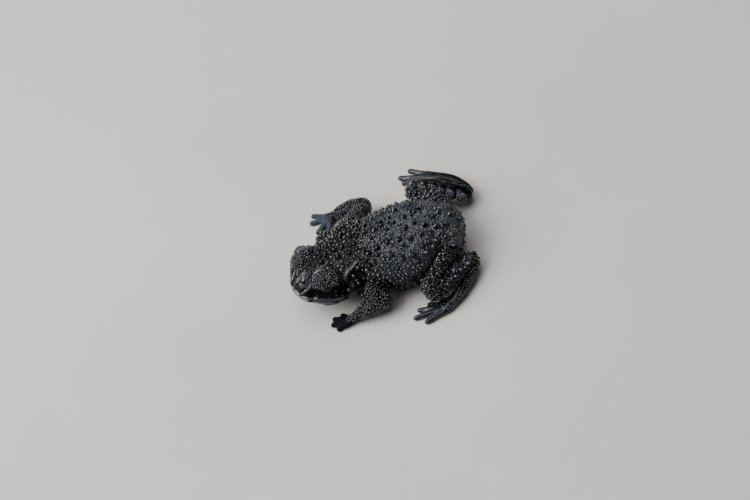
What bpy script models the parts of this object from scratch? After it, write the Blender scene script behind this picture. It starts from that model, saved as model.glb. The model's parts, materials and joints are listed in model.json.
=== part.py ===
"""A Venezuelan pebble toad at life size, crouched on its four feet with its head turned to its left.

The sizes below are in millimetres, for a toad 25 mm from snout to vent, and the last step writes metres.
The head faces -X, the toad's left side is -Y, and it stands on the plane z = 0.
"""

import math
import random

import bmesh
import bpy
from mathutils import Matrix, Vector
from mathutils.bvhtree import BVHTree

MM = 0.001
UP = Vector((0, 0, 1))

# Clearances and mesh fineness
GAP = 0.3
VOXEL = 0.16
SMOOTH_ROUNDS = 4
EYE_GAP = 0.25
FLOOR_DEPTH = 4.0
WIDE = 60.0

# Trunk: where its middle line passes, and how wide and high it is there
# (x, y, z, half width, half height)
TRUNK = (
    (-6.4, 0.3, 5.0, 3.3, 2.1),
    (-4.8, 0.0, 4.9, 4.5, 2.7),
    (-2.0, -0.1, 4.6, 4.8, 3.2),
    (1.0, -0.4, 4.1, 5.5, 3.7),
    (4.2, -0.4, 3.8, 6.1, 3.95),
    (7.2, -0.1, 3.7, 5.5, 3.7),
    (9.6, -0.4, 3.6, 4.3, 3.2),
    (11.1, -0.9, 3.6, 3.2, 2.6),
)
TRUNK_DOME = 0.45
TRUNK_SQUARE = 2.5
SHOULDERS = ((-3.7, -3.9, 4.0, 2.0, 2.0, 2.0), (-5.4, 3.0, 4.6, 2.2, 1.8, 1.8))
HIPS = ((9.4, -2.5, 4.6, 2.3, 1.9, 1.9), (10.0, 1.7, 4.6, 2.3, 1.9, 1.9))

# Head: its own frame has f to the snout, l to the toad's left and u up
HEAD_AT = Vector((-9.2, -2.0, 5.4))
HEAD_YAW = math.radians(27)
HEAD_PITCH = math.radians(4)
# (f, half width, half height, u)
CRANIUM = (
    (-3.2, 3.3, 1.9, 0.3),
    (-1.5, 2.9, 1.95, 0.3),
    (0.5, 2.4, 1.7, 0.05),
    (1.6, 1.8, 1.35, -0.2),
    (2.1, 1.2, 1.1, -0.35),
)
JAWS = (
    (-3.3, 5.0, 1.9, -1.3),
    (-1.8, 5.1, 1.9, -1.4),
    (0.0, 4.5, 1.8, -1.45),
    (1.2, 3.4, 1.55, -1.35),
    (1.95, 2.35, 1.25, -1.25),
)
SNOUT_DOME = 0.5
EYE = Vector((-0.35, 2.95, 0.7))
EYE_RADIUS = 1.2
LID = Vector((-0.7, 2.65, 1.2))
LID_RADII = (1.9, 1.65, 1.5)
APERTURE = Vector((-0.3, 4.7, 0.5))
APERTURE_RADII = (1.25, 1.3, 0.8)
NOSTRIL = Vector((2.35, 0.8, 0.15))
NOSTRIL_RADIUS = 0.38
NOSTRIL_PIT = 0.2
CANTHUS_FROM = Vector((0.8, 1.6, 1.2))
CANTHUS_RADIUS = 0.42
CREST = ((0.4, 0.95, 1.75), (-2.2, 1.0, 2.05))
CREST_RADIUS = 0.3
MOUTH_U = -1.15
MOUTH_MIDDLE = -0.6
MOUTH_TURN = math.radians(107)
MOUTH_POINTS = 22
MOUTH_GROOVE = 0.16

# Fore limbs: points on the middle lines, with half width and half height
FORE = {
    "left": {
        "upper_arm": (
            (-3.2, -3.6, 3.9, 1.75, 1.8),
            (-2.2, -5.2, 3.5, 1.5, 1.5),
            (-1.0, -6.6, 2.8, 1.3, 1.3),
        ),
        "forearm": (
            (-0.9, -7.0, 2.4, 1.3, 1.25),
            (-2.6, -7.15, 2.0, 1.2, 1.15),
            (-4.4, -7.3, 1.35, 0.85, 0.85),
            (-5.7, -7.5, 0.95, 0.55, 0.55),
        ),
        "hand": (
            (-5.7, -7.5, 0.9, 0.55, 0.5),
            (-6.4, -7.5, 0.65, 0.8, 0.45),
            (-7.0, -7.5, 0.5, 0.85, 0.4),
        ),
        "digits": (
            ((-6.1, -7.1), (-6.8, -6.2)),
            ((-6.6, -7.1), (-8.0, -6.4)),
            ((-6.8, -7.4), (-8.4, -7.2)),
            ((-6.6, -7.7), (-7.8, -8.1)),
        ),
    },
    "right": {
        "upper_arm": (
            (-3.4, 3.4, 4.2, 1.75, 1.8),
            (-1.8, 5.6, 3.7, 1.5, 1.5),
            (-0.2, 7.6, 3.0, 1.3, 1.3),
        ),
        "forearm": (
            (0.1, 8.6, 2.5, 1.35, 1.3),
            (-1.4, 9.2, 2.1, 1.3, 1.2),
            (-3.0, 9.5, 1.6, 1.0, 0.95),
            (-4.0, 9.7, 1.1, 0.6, 0.6),
        ),
        "hand": (
            (-4.1, 9.8, 1.0, 0.6, 0.55),
            (-4.9, 9.8, 0.75, 0.85, 0.48),
            (-5.5, 9.8, 0.55, 0.95, 0.42),
        ),
        "digits": (
            ((-4.7, 9.4), (-5.4, 7.9)),
            ((-5.3, 9.4), (-6.9, 8.2)),
            ((-5.5, 9.8), (-7.4, 10.0)),
            ((-5.2, 10.2), (-6.9, 11.1)),
        ),
    },
}

# Hind limbs, in the same way
HIND = {
    "left": {
        "thigh": (
            (9.8, -2.6, 4.3, 1.9, 1.9),
            (8.1, -4.5, 4.3, 1.55, 1.65),
            (6.7, -6.2, 3.75, 1.4, 1.45),
            (5.6, -7.7, 3.3, 1.3, 1.3),
        ),
        "shank": (
            (6.0, -8.4, 2.7, 1.25, 1.35),
            (8.4, -6.8, 2.5, 1.35, 1.45),
            (10.4, -5.5, 2.2, 1.15, 1.25),
            (12.2, -4.5, 1.9, 0.95, 1.0),
        ),
        "foot": (
            (12.5, -4.9, 1.5, 0.8, 0.85),
            (11.3, -6.6, 1.1, 0.75, 0.75),
            (9.8, -8.1, 0.95, 0.75, 0.7),
            (8.2, -9.2, 0.85, 0.8, 0.65),
            (6.7, -9.8, 0.6, 1.1, 0.5),
        ),
        "digits": (
            ((7.4, -9.2), (6.4, -8.1)),
            ((6.9, -9.4), (4.9, -8.6)),
            ((6.4, -9.7), (3.4, -9.0)),
            ((6.2, -10.0), (2.6, -10.0)),
            ((6.6, -10.4), (3.9, -11.1)),
        ),
    },
    "right": {
        "thigh": (
            (11.0, 0.6, 4.0, 1.9, 2.0),
            (10.4, 3.6, 4.0, 1.5, 1.6),
            (9.0, 5.9, 3.7, 1.35, 1.45),
            (7.6, 7.9, 3.3, 1.3, 1.3),
        ),
        "shank": (
            (7.7, 8.8, 2.8, 1.25, 1.35),
            (9.8, 8.2, 2.7, 1.35, 1.45),
            (12.2, 7.1, 2.4, 1.2, 1.3),
            (14.3, 6.2, 1.95, 1.0, 1.05),
        ),
        "foot": (
            (14.8, 6.7, 1.5, 0.8, 0.85),
            (14.2, 8.4, 1.1, 0.75, 0.75),
            (13.0, 9.9, 0.95, 0.75, 0.7),
            (11.4, 10.9, 0.85, 0.8, 0.65),
            (9.9, 11.7, 0.6, 1.1, 0.5),
        ),
        "digits": (
            ((10.5, 11.0), (9.4, 10.0)),
            ((9.9, 11.3), (7.9, 10.9)),
            ((9.5, 11.6), (6.6, 12.0)),
            ((9.4, 11.9), (6.4, 13.0)),
            ((9.9, 12.3), (8.0, 13.7)),
        ),
    },
}
DIGIT_RADIUS = 0.4
DIGIT_TIP = 0.4
DIGIT_RISE = 0.55

# Triangles of each solid before its joints are cut
TRIANGLES = {
    "torso": 1400,
    "head": 2000,
    "upper_arm": 220,
    "forearm": 280,
    "hand": 620,
    "thigh": 340,
    "shank": 340,
    "foot": 740,
}

# Warts that stand out on each part: how far apart, how wide and how high they are
WARTS = {
    "torso": (1.55, 0.34, 0.28),
    "head": (1.4, 0.24, 0.16),
    "upper_arm": (1.2, 0.24, 0.18),
    "forearm": (1.2, 0.24, 0.18),
    "thigh": (1.25, 0.28, 0.22),
    "shank": (1.25, 0.3, 0.24),
}
WART_SIDES = 6
WART_TIP = 0.42
WART_SUNK = 0.25
WART_VARIES = 0.25
WART_TRIES = 2500
WART_UPWARD = {"torso": 0.1, "head": 0.6}
LIMB_UPWARD = -0.1
WART_LOWEST = 1.5
WART_SEED = 11


def clear_scene():
    """Removes whatever the file holds."""
    for obj in list(bpy.data.objects):
        bpy.data.objects.remove(obj)


def material(name, colour, roughness):
    """A finish in plain numbers: the skin is black and wet."""
    made = bpy.data.materials.new(name)
    made.use_nodes = True
    shader = made.node_tree.nodes["Principled BSDF"]
    shader.inputs["Base Color"].default_value = (*colour, 1)
    shader.inputs["Roughness"].default_value = roughness
    shader.inputs["Metallic"].default_value = 0
    return made


def smooth_rows(rows, steps):
    """Rows of numbers on a Catmull-Rom curve through the given rows."""
    ends = [rows[0], *rows, rows[-1]]
    found = []
    for a, b, c, d in zip(ends, ends[1:], ends[2:], ends[3:]):
        for i in range(steps):
            t = i / steps
            found.append([
                q + 0.5 * ((r - p) * t + (2 * p - 5 * q + 4 * r - s) * t**2 + (3 * q - p - 3 * r + s) * t**3)
                for p, q, r, s in zip(a, b, c, d)
            ])
    return [*found, list(rows[-1])]


def domed(rows, along, dome):
    """The rows with a round end added at each end."""
    found = []
    for row, sign in ((rows[0], -1), (rows[-1], 1)):
        reach = dome * 0.5 * (row[3] + row[4])
        way = along(0 if sign < 0 else -1) * sign
        cap = []
        for angle in (25, 50, 75):
            lean = math.radians(angle)
            centre = Vector(row[:3]) + way * reach * math.sin(lean)
            cap.append([*centre, row[3] * math.cos(lean), row[4] * math.cos(lean)])
        found.append(cap)
    return [*reversed(found[0]), *rows, *found[1]]


def squared(verts, power):
    """Turns a unit ring into one with fuller corners."""
    for vert in verts:
        for i in (0, 1):
            vert.co[i] = math.copysign(abs(vert.co[i]) ** (2 / power), vert.co[i])


def sleeve(stations, sides=16, steps=4, dome=1.0, square=2.0):
    """A closed oval tube with round ends, through stations of (x, y, z, half width, half height)."""
    rows = smooth_rows(stations, steps)

    def along(end):
        a, b = (rows[0], rows[1]) if end == 0 else (rows[-2], rows[-1])
        return (Vector(b[:3]) - Vector(a[:3])).normalized()

    rows = domed(rows, along, dome)
    bm = bmesh.new()
    loops = []
    for i, row in enumerate(rows):
        before, after = rows[max(i - 1, 0)], rows[min(i + 1, len(rows) - 1)]
        forward = (Vector(after[:3]) - Vector(before[:3])).normalized()
        side = forward.cross(UP).normalized()
        turn = Matrix((side * row[3], side.cross(forward) * row[4], forward)).transposed().to_4x4()
        turn.translation = Vector(row[:3])
        is_end = i in (0, len(rows) - 1)
        ring = bmesh.ops.create_circle(bm, cap_ends=is_end, segments=sides, radius=1)["verts"]
        squared(ring, square)
        bmesh.ops.transform(bm, matrix=turn, verts=ring)
        loops.append(list({edge for vert in ring for edge in vert.link_edges}))
    for a, b in zip(loops, loops[1:]):
        bmesh.ops.bridge_loops(bm, edges=a + b)
    bmesh.ops.recalc_face_normals(bm, faces=bm.faces)
    return bm


def ball(centre, radii, fineness=3):
    """An ellipsoid."""
    place = Matrix.Translation(centre) @ Matrix.Diagonal((*radii, 1))
    bm = bmesh.new()
    bmesh.ops.create_icosphere(bm, subdivisions=fineness, radius=1, matrix=place)
    return bm


def block(low, high):
    """A box from one corner to the other."""
    low, high = Vector(low), Vector(high)
    place = Matrix.Translation((low + high) / 2) @ Matrix.Diagonal((*(high - low), 1))
    bm = bmesh.new()
    bmesh.ops.create_cube(bm, size=1, matrix=place)
    return bm


def mesh_object(name, pieces):
    """One object from several closed shapes, which stay separate bodies inside it."""
    mesh = bpy.data.meshes.new(name)
    whole = bmesh.new()
    for piece in pieces:
        part = bpy.data.meshes.new("part")
        piece.to_mesh(part)
        piece.free()
        whole.from_mesh(part)
        bpy.data.meshes.remove(part)
    whole.to_mesh(mesh)
    whole.free()
    made = bpy.data.objects.new(name, mesh)
    bpy.context.scene.collection.objects.link(made)
    return made


def evaluated_mesh(obj):
    """A copy of the object's mesh with its modifiers in it."""
    bpy.context.view_layer.update()
    graph = bpy.context.evaluated_depsgraph_get()
    return bpy.data.meshes.new_from_object(obj.evaluated_get(graph))


def apply_modifiers(obj):
    """Puts the modifiers' result into the object's own mesh."""
    made = evaluated_mesh(obj)
    obj.modifiers.clear()
    old, obj.data = obj.data, made
    bpy.data.meshes.remove(old)


def flesh(name, pieces, triangles, voxel=VOXEL, rounds=SMOOTH_ROUNDS):
    """Fuses overlapping shapes into one smooth body of about that many triangles."""
    made = mesh_object(name, pieces)
    fuse = made.modifiers.new("fuse", "REMESH")
    fuse.mode = "VOXEL"
    fuse.voxel_size = voxel
    soften = made.modifiers.new("soften", "SMOOTH")
    soften.factor = 0.5
    soften.iterations = rounds
    apply_modifiers(made)
    keep_largest(made)
    faces = sum(len(face.vertices) - 2 for face in made.data.polygons)
    thin = made.modifiers.new("thin", "DECIMATE")
    thin.ratio = min(1, triangles / faces)
    thin.use_collapse_triangulate = True
    apply_modifiers(made)
    return made


def keep_largest(obj):
    """Leaves only the largest closed surface of the object's mesh."""
    bm = bmesh.new()
    bm.from_mesh(obj.data)
    left = set(bm.verts)
    shells = []
    while left:
        queue = [left.pop()]
        shell = set(queue)
        while queue:
            for edge in queue.pop().link_edges:
                for vert in edge.verts:
                    if vert not in shell:
                        shell.add(vert)
                        queue.append(vert)
        left -= shell
        shells.append(shell)
    shells.sort(key=len)
    loose = [vert for shell in shells[:-1] for vert in shell]
    bmesh.ops.delete(bm, geom=loose, context="VERTS")
    bm.to_mesh(obj.data)
    bm.free()


def join(obj, operation, cutters, solver="EXACT"):
    """Adds the cutters to the object or takes them from it, then removes them."""
    helpers = bpy.data.collections.new("helpers")
    for cutter in cutters:
        helpers.objects.link(cutter)
    step = obj.modifiers.new(operation.lower(), "BOOLEAN")
    step.operation = operation
    step.operand_type = "COLLECTION"
    step.collection = helpers
    step.solver = solver
    apply_modifiers(obj)
    for cutter in cutters:
        bpy.data.objects.remove(cutter)
    bpy.data.collections.remove(helpers)
    keep_largest(obj)


def swollen(obj, by):
    """A copy of a body, larger all round."""
    made = bpy.data.objects.new(obj.name + "_swollen", obj.data.copy())
    bpy.context.scene.collection.objects.link(made)
    grow = made.modifiers.new("grow", "DISPLACE")
    grow.strength = by
    grow.mid_level = 0
    apply_modifiers(made)
    return made


def box_of(obj):
    """Lowest and highest corner of the object's mesh."""
    points = [vert.co for vert in obj.data.vertices]
    return (
        Vector([min(p[i] for p in points) for i in range(3)]),
        Vector([max(p[i] for p in points) for i in range(3)]),
    )


def near(a, b, margin):
    """True if the boxes of two bodies come within a margin of each other."""
    (low_a, high_a), (low_b, high_b) = box_of(a), box_of(b)
    return all(low_a[i] - margin < high_b[i] and low_b[i] - margin < high_a[i] for i in range(3))


def clear_of(obj, others):
    """Cuts a body back from the bodies that carry it or lie against it, by the gap.

    The exact solver loses the head in this cut, so the manifold solver makes it.
    """
    cutters = [swollen(other, GAP) for other in others if near(obj, other, GAP)]
    for cutter in cutters:
        join(obj, "DIFFERENCE", [cutter], solver="MANIFOLD")


def stand(obj):
    """Cuts off what reaches under the floor, which leaves a small flat there."""
    low, _ = box_of(obj)
    if low.z < 0:
        under = block((-WIDE, -WIDE, -FLOOR_DEPTH), (WIDE, WIDE, 0))
        join(obj, "DIFFERENCE", [mesh_object("floor", [under])])


def surface_of(obj):
    """A search tree of a body's surface."""
    points = [vert.co for vert in obj.data.vertices]
    return BVHTree.FromPolygons(points, [face.vertices for face in obj.data.polygons])


def wart_spots(body, others, kind, rng):
    """Spots on the upper skin of a body, apart from one another and clear of the other bodies."""
    spacing, radius, height = WARTS[kind]
    clearance = GAP + height + radius
    trees = [surface_of(other) for other in others if near(body, other, clearance)]
    faces = [face for face in body.data.polygons if face.normal.z > WART_UPWARD.get(kind, LIMB_UPWARD)]
    areas = [face.area for face in faces]
    spots = []
    for face in rng.choices(faces, weights=areas, k=WART_TRIES):
        corners = [body.data.vertices[i].co for i in face.vertices]
        shares = [rng.random() + 0.1 for _ in corners]
        spot = sum((corner * share for corner, share in zip(corners, shares)), Vector()) / sum(shares)
        is_low = spot.z < WART_LOWEST
        is_close = any((spot - other).length < spacing for other, _ in spots)
        if is_low or is_close or any(tree.find_nearest(spot, clearance)[0] for tree in trees):
            continue
        spots.append((spot, face.normal.copy()))
    return spots


def add_warts(body, others, kind, rng):
    """Blunt cones on the skin, each with its root sunk into the body."""
    _, radius, height = WARTS[kind]
    cones = []
    for spot, out in wart_spots(body, others, kind, rng):
        size = 1 + rng.uniform(-WART_VARIES, WART_VARIES)
        lean = out + Vector([rng.uniform(-0.15, 0.15) for _ in range(3)])
        spin = Matrix.Rotation(rng.uniform(0, math.tau), 4, "Z")
        turn = lean.to_track_quat("Z", "Y").to_matrix().to_4x4() @ spin
        middle = spot + out * (height * size - WART_SUNK) / 2
        bm = bmesh.new()
        bmesh.ops.create_cone(
            bm,
            cap_ends=True,
            segments=WART_SIDES,
            radius1=radius * size,
            radius2=radius * size * WART_TIP,
            depth=height * size + WART_SUNK,
            matrix=Matrix.Translation(middle) @ turn,
        )
        cones.append(bm)
    join(body, "UNION", [mesh_object("warts", cones)])
    return len(cones)


def head_frame():
    """Head frame to toad frame: f to the snout, l to the left, u up."""
    forward = Vector((-math.cos(HEAD_YAW), -math.sin(HEAD_YAW), 0))
    left = Vector((math.sin(HEAD_YAW), -math.cos(HEAD_YAW), 0))
    base = Matrix((forward, left, UP)).transposed().to_4x4()
    return Matrix.Translation(HEAD_AT) @ base @ Matrix.Rotation(-HEAD_PITCH, 4, "Y")


def mirrored(point, side):
    """The point itself for the head's left side (1), or its mirror image for the right side (-1)."""
    return Vector((point.x, side * point.y, point.z))


def moved(bm, place):
    """The shape put in its place."""
    bmesh.ops.transform(bm, matrix=place, verts=bm.verts)
    return bm


def mouth_groove(head, place):
    """A thin round bar that follows the edge of the jaws all the way round the snout."""
    middle = place @ Vector((MOUTH_MIDDLE, 0, MOUTH_U))
    rows = []
    for i in range(MOUTH_POINTS + 1):
        angle = MOUTH_TURN * (2 * i / MOUTH_POINTS - 1)
        outside = place @ Vector((MOUTH_MIDDLE + WIDE * math.cos(angle), WIDE * math.sin(angle), MOUTH_U))
        _, point, _, _ = head.ray_cast(outside, (middle - outside).normalized())
        rows.append([*point, MOUTH_GROOVE, MOUTH_GROOVE])
    return sleeve(rows, sides=5, steps=1)


def build_head():
    """Skull, lids, canthal ridges, crests and nostrils in one body, with sockets, pits and mouth cut in."""
    place = head_frame()
    shapes = [
        sleeve([(f, 0, u, width, height) for f, width, height, u in rows], sides=24, dome=SNOUT_DOME)
        for rows in (CRANIUM, JAWS)
    ]
    for side in (1, -1):
        shapes.append(ball(mirrored(LID, side), LID_RADII))
        shapes.append(ball(mirrored(NOSTRIL, side), (NOSTRIL_RADIUS,) * 3))
        canthus = [mirrored(point, side) for point in (CANTHUS_FROM, NOSTRIL)]
        shapes.append(sleeve([(*point, CANTHUS_RADIUS, CANTHUS_RADIUS) for point in canthus], sides=10))
        crest = [mirrored(Vector(point), side) for point in CREST]
        shapes.append(sleeve([(*point, CREST_RADIUS, CREST_RADIUS) for point in crest], sides=10))
    head = flesh("head", [moved(shape, place) for shape in shapes], TRIANGLES["head"])
    for side in (1, -1):
        socket = ball(mirrored(EYE, side), (EYE_RADIUS + EYE_GAP,) * 3)
        opening = ball(mirrored(APERTURE, side), APERTURE_RADII, fineness=2)
        pit = ball(mirrored(NOSTRIL + Vector((0.25, 0.2, 0.1)), side), (NOSTRIL_PIT,) * 3, fineness=1)
        for cut in (socket, opening, pit):
            join(head, "DIFFERENCE", [mesh_object("cut", [moved(cut, place)])])
    join(head, "DIFFERENCE", [mesh_object("mouth", [mouth_groove(head, place)])])
    return head


def build_eyes():
    """The two eyeballs."""
    place = head_frame()
    eyes = []
    for name, side in (("eye_left", 1), ("eye_right", -1)):
        spot = place @ Matrix.Translation(mirrored(EYE, side))
        bm = bmesh.new()
        bmesh.ops.create_icosphere(bm, subdivisions=3, radius=EYE_RADIUS, matrix=spot)
        eyes.append(mesh_object(name, [bm]))
    return eyes


def digit(root, tip):
    """One finger or toe, from inside the palm or sole to its blunt tip."""
    middle = [(a + b) / 2 for a, b in zip(root, tip)]
    return sleeve([
        (*root, DIGIT_RISE, DIGIT_RADIUS, DIGIT_RADIUS),
        (*middle, DIGIT_RISE * 0.9, DIGIT_RADIUS, DIGIT_RADIUS * 0.95),
        (*tip, DIGIT_TIP * 0.8, DIGIT_TIP, DIGIT_TIP * 0.9),
    ], sides=10)


def build_limb(side, sizes, order):
    """The lengths of one limb, from the body outwards."""
    made = []
    for part in order:
        shapes = [sleeve(sizes[part])]
        if part in ("hand", "foot"):
            shapes += [digit(root, tip) for root, tip in sizes["digits"]]
        made.append(flesh(f"{part}_{side}", shapes, TRIANGLES[part]))
    return made


def centre_of(bodies):
    """The middle of the whole toad's box, on the floor."""
    boxes = [box_of(body) for body in bodies]
    low = [min(box[0][i] for box in boxes) for i in range(3)]
    high = [max(box[1][i] for box in boxes) for i in range(3)]
    return Vector(((low[0] + high[0]) / 2, (low[1] + high[1]) / 2, 0))


def finish(obj, skin, centre):
    """Centres the body over the origin, turns millimetres into metres, and gives it its finish."""
    obj.data.transform(Matrix.Scale(MM, 4) @ Matrix.Translation(-centre))
    obj.data.materials.clear()
    obj.data.materials.append(skin)
    obj.data.shade_smooth()
    obj.data.set_sharp_from_angle(angle=math.radians(50))


def build():
    clear_scene()
    skin = material("black_skin", (0.012, 0.013, 0.015), 0.35)
    cornea = material("eye_black", (0.006, 0.005, 0.005), 0.05)
    shapes = [sleeve(TRUNK, sides=32, dome=TRUNK_DOME, square=TRUNK_SQUARE)]
    shapes += [ball(row[:3], row[3:]) for row in (*SHOULDERS, *HIPS)]
    torso = flesh("torso", shapes, TRIANGLES["torso"])
    head = build_head()
    eyes = build_eyes()
    limbs = []
    for side in ("left", "right"):
        limbs += build_limb(side, HIND[side], ("thigh", "shank", "foot"))
        limbs += build_limb(side, FORE[side], ("upper_arm", "forearm", "hand"))
    bodies = [torso]
    for body in [head, *limbs]:
        clear_of(body, bodies)
        bodies.append(body)
    for body in bodies:
        stand(body)
    rng = random.Random(WART_SEED)
    for body in bodies:
        kind = body.name.removesuffix("_left").removesuffix("_right")
        if kind in WARTS:
            others = [other for other in (*bodies, *eyes) if other is not body]
            print(body.name, "warts:", add_warts(body, others, kind, rng))
    centre = centre_of(bodies)
    for body in bodies:
        finish(body, skin, centre)
    for eye in eyes:
        finish(eye, cornea, centre)
    print("centre in mm:", [round(value, 3) for value in centre])
    return centre


build()
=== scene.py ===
# %% [markdown]
# # A Venezuelan pebble toad, life size
#
# The toad is 25 mm long and crouches on its four feet, with its head turned to its left. It is built as a
# museum preparator would build it: a body is roughed out from simple forms, the forms are fused into one
# skin, the folds, lids and mouth are worked into the skin, the warts and granules are set on it one by one,
# and the whole is painted black and varnished wet.
#
# The imported model is loaded first. It is the frame that says where everything is, and its box is kept, so
# that the finished toad stays inside it.

# %% Load the frame
import json
import math
import random
from itertools import product

import bmesh
import bpy
import numpy as np
from mathutils import Matrix, Vector
from mathutils.bvhtree import BVHTree
from mathutils.kdtree import KDTree
from mathutils.noise import noise_vector, seed_set

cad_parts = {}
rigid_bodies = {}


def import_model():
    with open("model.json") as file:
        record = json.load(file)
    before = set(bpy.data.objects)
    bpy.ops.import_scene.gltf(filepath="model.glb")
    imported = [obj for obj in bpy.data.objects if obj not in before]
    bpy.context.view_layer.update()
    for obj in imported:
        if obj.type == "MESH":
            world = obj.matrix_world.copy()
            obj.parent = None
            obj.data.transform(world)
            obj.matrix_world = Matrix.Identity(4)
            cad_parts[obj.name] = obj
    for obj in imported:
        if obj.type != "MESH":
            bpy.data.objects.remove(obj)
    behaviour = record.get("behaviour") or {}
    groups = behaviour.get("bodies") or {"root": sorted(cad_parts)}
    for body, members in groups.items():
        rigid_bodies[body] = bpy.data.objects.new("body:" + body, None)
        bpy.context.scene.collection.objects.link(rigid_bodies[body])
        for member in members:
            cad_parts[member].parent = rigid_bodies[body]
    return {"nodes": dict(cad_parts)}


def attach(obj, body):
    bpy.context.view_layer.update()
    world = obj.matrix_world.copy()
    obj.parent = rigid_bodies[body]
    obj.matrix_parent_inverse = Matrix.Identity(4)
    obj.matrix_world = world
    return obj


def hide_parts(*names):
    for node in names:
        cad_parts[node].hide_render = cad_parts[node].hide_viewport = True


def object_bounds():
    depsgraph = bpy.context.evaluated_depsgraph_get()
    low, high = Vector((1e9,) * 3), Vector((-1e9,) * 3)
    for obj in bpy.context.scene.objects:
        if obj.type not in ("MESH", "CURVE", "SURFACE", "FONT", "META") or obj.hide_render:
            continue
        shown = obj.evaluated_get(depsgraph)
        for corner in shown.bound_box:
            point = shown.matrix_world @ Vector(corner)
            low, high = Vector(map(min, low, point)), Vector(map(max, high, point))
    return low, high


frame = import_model()
cad_box = [list(corner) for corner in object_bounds()]
# Without a seed the noise would start from the clock, and every run would give another toad
NOISE_SEED = 2
seed_set(NOISE_SEED)
print("box of the packed model in mm:", [[round(1000 * v, 2) for v in corner] for corner in cad_box])

# %% [markdown]
# ## The camera
#
# The photograph looks down on the toad from its left side. Its own horizon is tilted, so the camera rolls.
# A long lens at a fair distance keeps the near and far limbs the same size, as in the photograph. The toad
# is modelled in millimetres around its own axes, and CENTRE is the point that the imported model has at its
# origin, so every place below is moved by it at the end.

# %% Camera
MM = 0.001
CENTRE = Vector((1.622, 1.295, 0))
PHOTO_SIZE = (750, 500)
LENS = 100
SENSOR = 36
CAMERA_HEIGHT = math.radians(56)
CAMERA_ROLL = math.radians(-17)
CAMERA_FAR = 289
CAMERA_AIM = Vector((0, 2.8, 0))
CLIP = (0.01, 5)


def in_scene(name, data):
    """A new object in the scene, made of the given data."""
    made = bpy.data.objects.new(name, data)
    bpy.context.scene.collection.objects.link(made)
    return made


away = Vector((0, -math.cos(CAMERA_HEIGHT), math.sin(CAMERA_HEIGHT)))
camera_turn = away.to_track_quat("Z", "Y").to_matrix().to_4x4() @ Matrix.Rotation(CAMERA_ROLL, 4, "Z")
camera_spot = CAMERA_AIM + away * CAMERA_FAR
camera_data = bpy.data.cameras.new("photo_camera")
camera_data.lens = LENS
camera_data.sensor_width = SENSOR
camera_data.clip_start, camera_data.clip_end = CLIP
camera = in_scene("photo_camera", camera_data)
camera.matrix_world = Matrix.Translation((camera_spot - CENTRE) * MM) @ camera_turn
bpy.context.scene.camera = camera
print("camera", [round(v, 4) for v in camera.matrix_world.translation])

# %% [markdown]
# ## The measures
#
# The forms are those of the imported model, apart from the lids, the eyes, the jaws and the height of the
# trunk, which were fitted more closely to the photograph. They could be pushed and pulled by hand, but
# numbers can be set against the photograph one by one. The trunk, the skull, the jaws and the lengths of the
# limbs are given by stations on their middle lines, with a half width and a half height at each. One curve
# runs through the stations, so a few rows make a smooth form.

# %% Trunk measures
UP = Vector((0, 0, 1))
# (x, y, z, half width, half height)
TRUNK = (
    (-6.4, 0.3, 5.0, 3.3, 2.1),
    (-4.8, 0.0, 4.9, 4.5, 2.7),
    (-2.0, -0.1, 4.6, 4.8, 3.2),
    (1.0, -0.4, 4.1, 5.5, 3.62),
    (4.2, -0.4, 3.8, 6.1, 3.82),
    (7.2, -0.1, 3.7, 5.5, 3.62),
    (9.6, -0.4, 3.6, 4.3, 3.2),
    (11.1, -0.9, 3.6, 3.2, 2.6),
)
TRUNK_DOME = 0.45
TRUNK_SQUARE = 2.5
SHOULDERS = ((-3.7, -3.9, 4.0, 2.0, 2.0, 2.0), (-5.4, 3.0, 4.6, 2.2, 1.8, 1.8))
HIPS = ((9.4, -2.5, 4.6, 2.3, 1.9, 1.9), (10.0, 1.7, 4.6, 2.3, 1.9, 1.9))
print("trunk:", len(TRUNK), "stations over", round(TRUNK[-1][0] - TRUNK[0][0], 1), "mm")

# %% Head measures
HEAD_AT = Vector((-9.2, -2.0, 5.4))
HEAD_YAW = math.radians(27)
HEAD_PITCH = math.radians(4)
# (f, half width, half height, u), where f points to the snout and u up
CRANIUM = (
    (-3.2, 3.3, 1.9, 0.3),
    (-1.5, 2.9, 1.95, 0.3),
    (0.5, 2.4, 1.7, 0.05),
    (1.6, 1.8, 1.35, -0.2),
    (2.1, 1.2, 1.1, -0.35),
)
JAWS = (
    (-3.3, 5.05, 1.95, -1.4),
    (-1.8, 5.25, 2.0, -1.5),
    (0.0, 4.65, 1.9, -1.55),
    (1.2, 3.45, 1.6, -1.4),
    (1.95, 2.35, 1.25, -1.25),
)
SNOUT_DOME = 0.5
EYE = Vector((-0.35, 2.74, 0.64))
EYE_RADIUS = 1.13
# The dome of the upper lid and its outer corner: middle and radii
LIDS = (((-0.7, 2.3, 1.36), (2.1, 1.4, 1.2)), ((-1.05, 2.95, 1.34), (1.25, 1.3, 0.65)))
LID_RIM = (
    (1.2, 2.25, 1.42), (0.7, 2.85, 1.42), (0.15, 3.35, 1.42), (-0.4, 3.8, 1.42), (-0.95, 4.08, 1.42),
    (-1.5, 3.98, 1.42), (-2.0, 3.4, 1.45), (-2.4, 2.7, 1.5),
)
LID_RIM_RADIUS = 0.2
APERTURE = Vector((-0.35, 4.4, 0.46))
APERTURE_RADII = (1.75, 1.4, 0.8)
NOSTRIL = Vector((2.35, 0.8, 0.15))
NOSTRIL_RADIUS = 0.38
NOSTRIL_PIT = 0.17
PIT_SHIFT = Vector((0.3, 0.2, 0.05))
PIT_FLATNESS = 0.8
CANTHUS_FROM = Vector((0.8, 1.6, 1.2))
CANTHUS_RADIUS = 0.42
MOUTH_U = -1.15
MOUTH_MIDDLE = -0.6
MOUTH_TURN = math.radians(112)
MOUTH_DROP = 0.25
MOUTH_POINTS = 40
MOUTH_GROOVE = 0.1
jaw_width = 2 * max(row[1] for row in JAWS)
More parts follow.
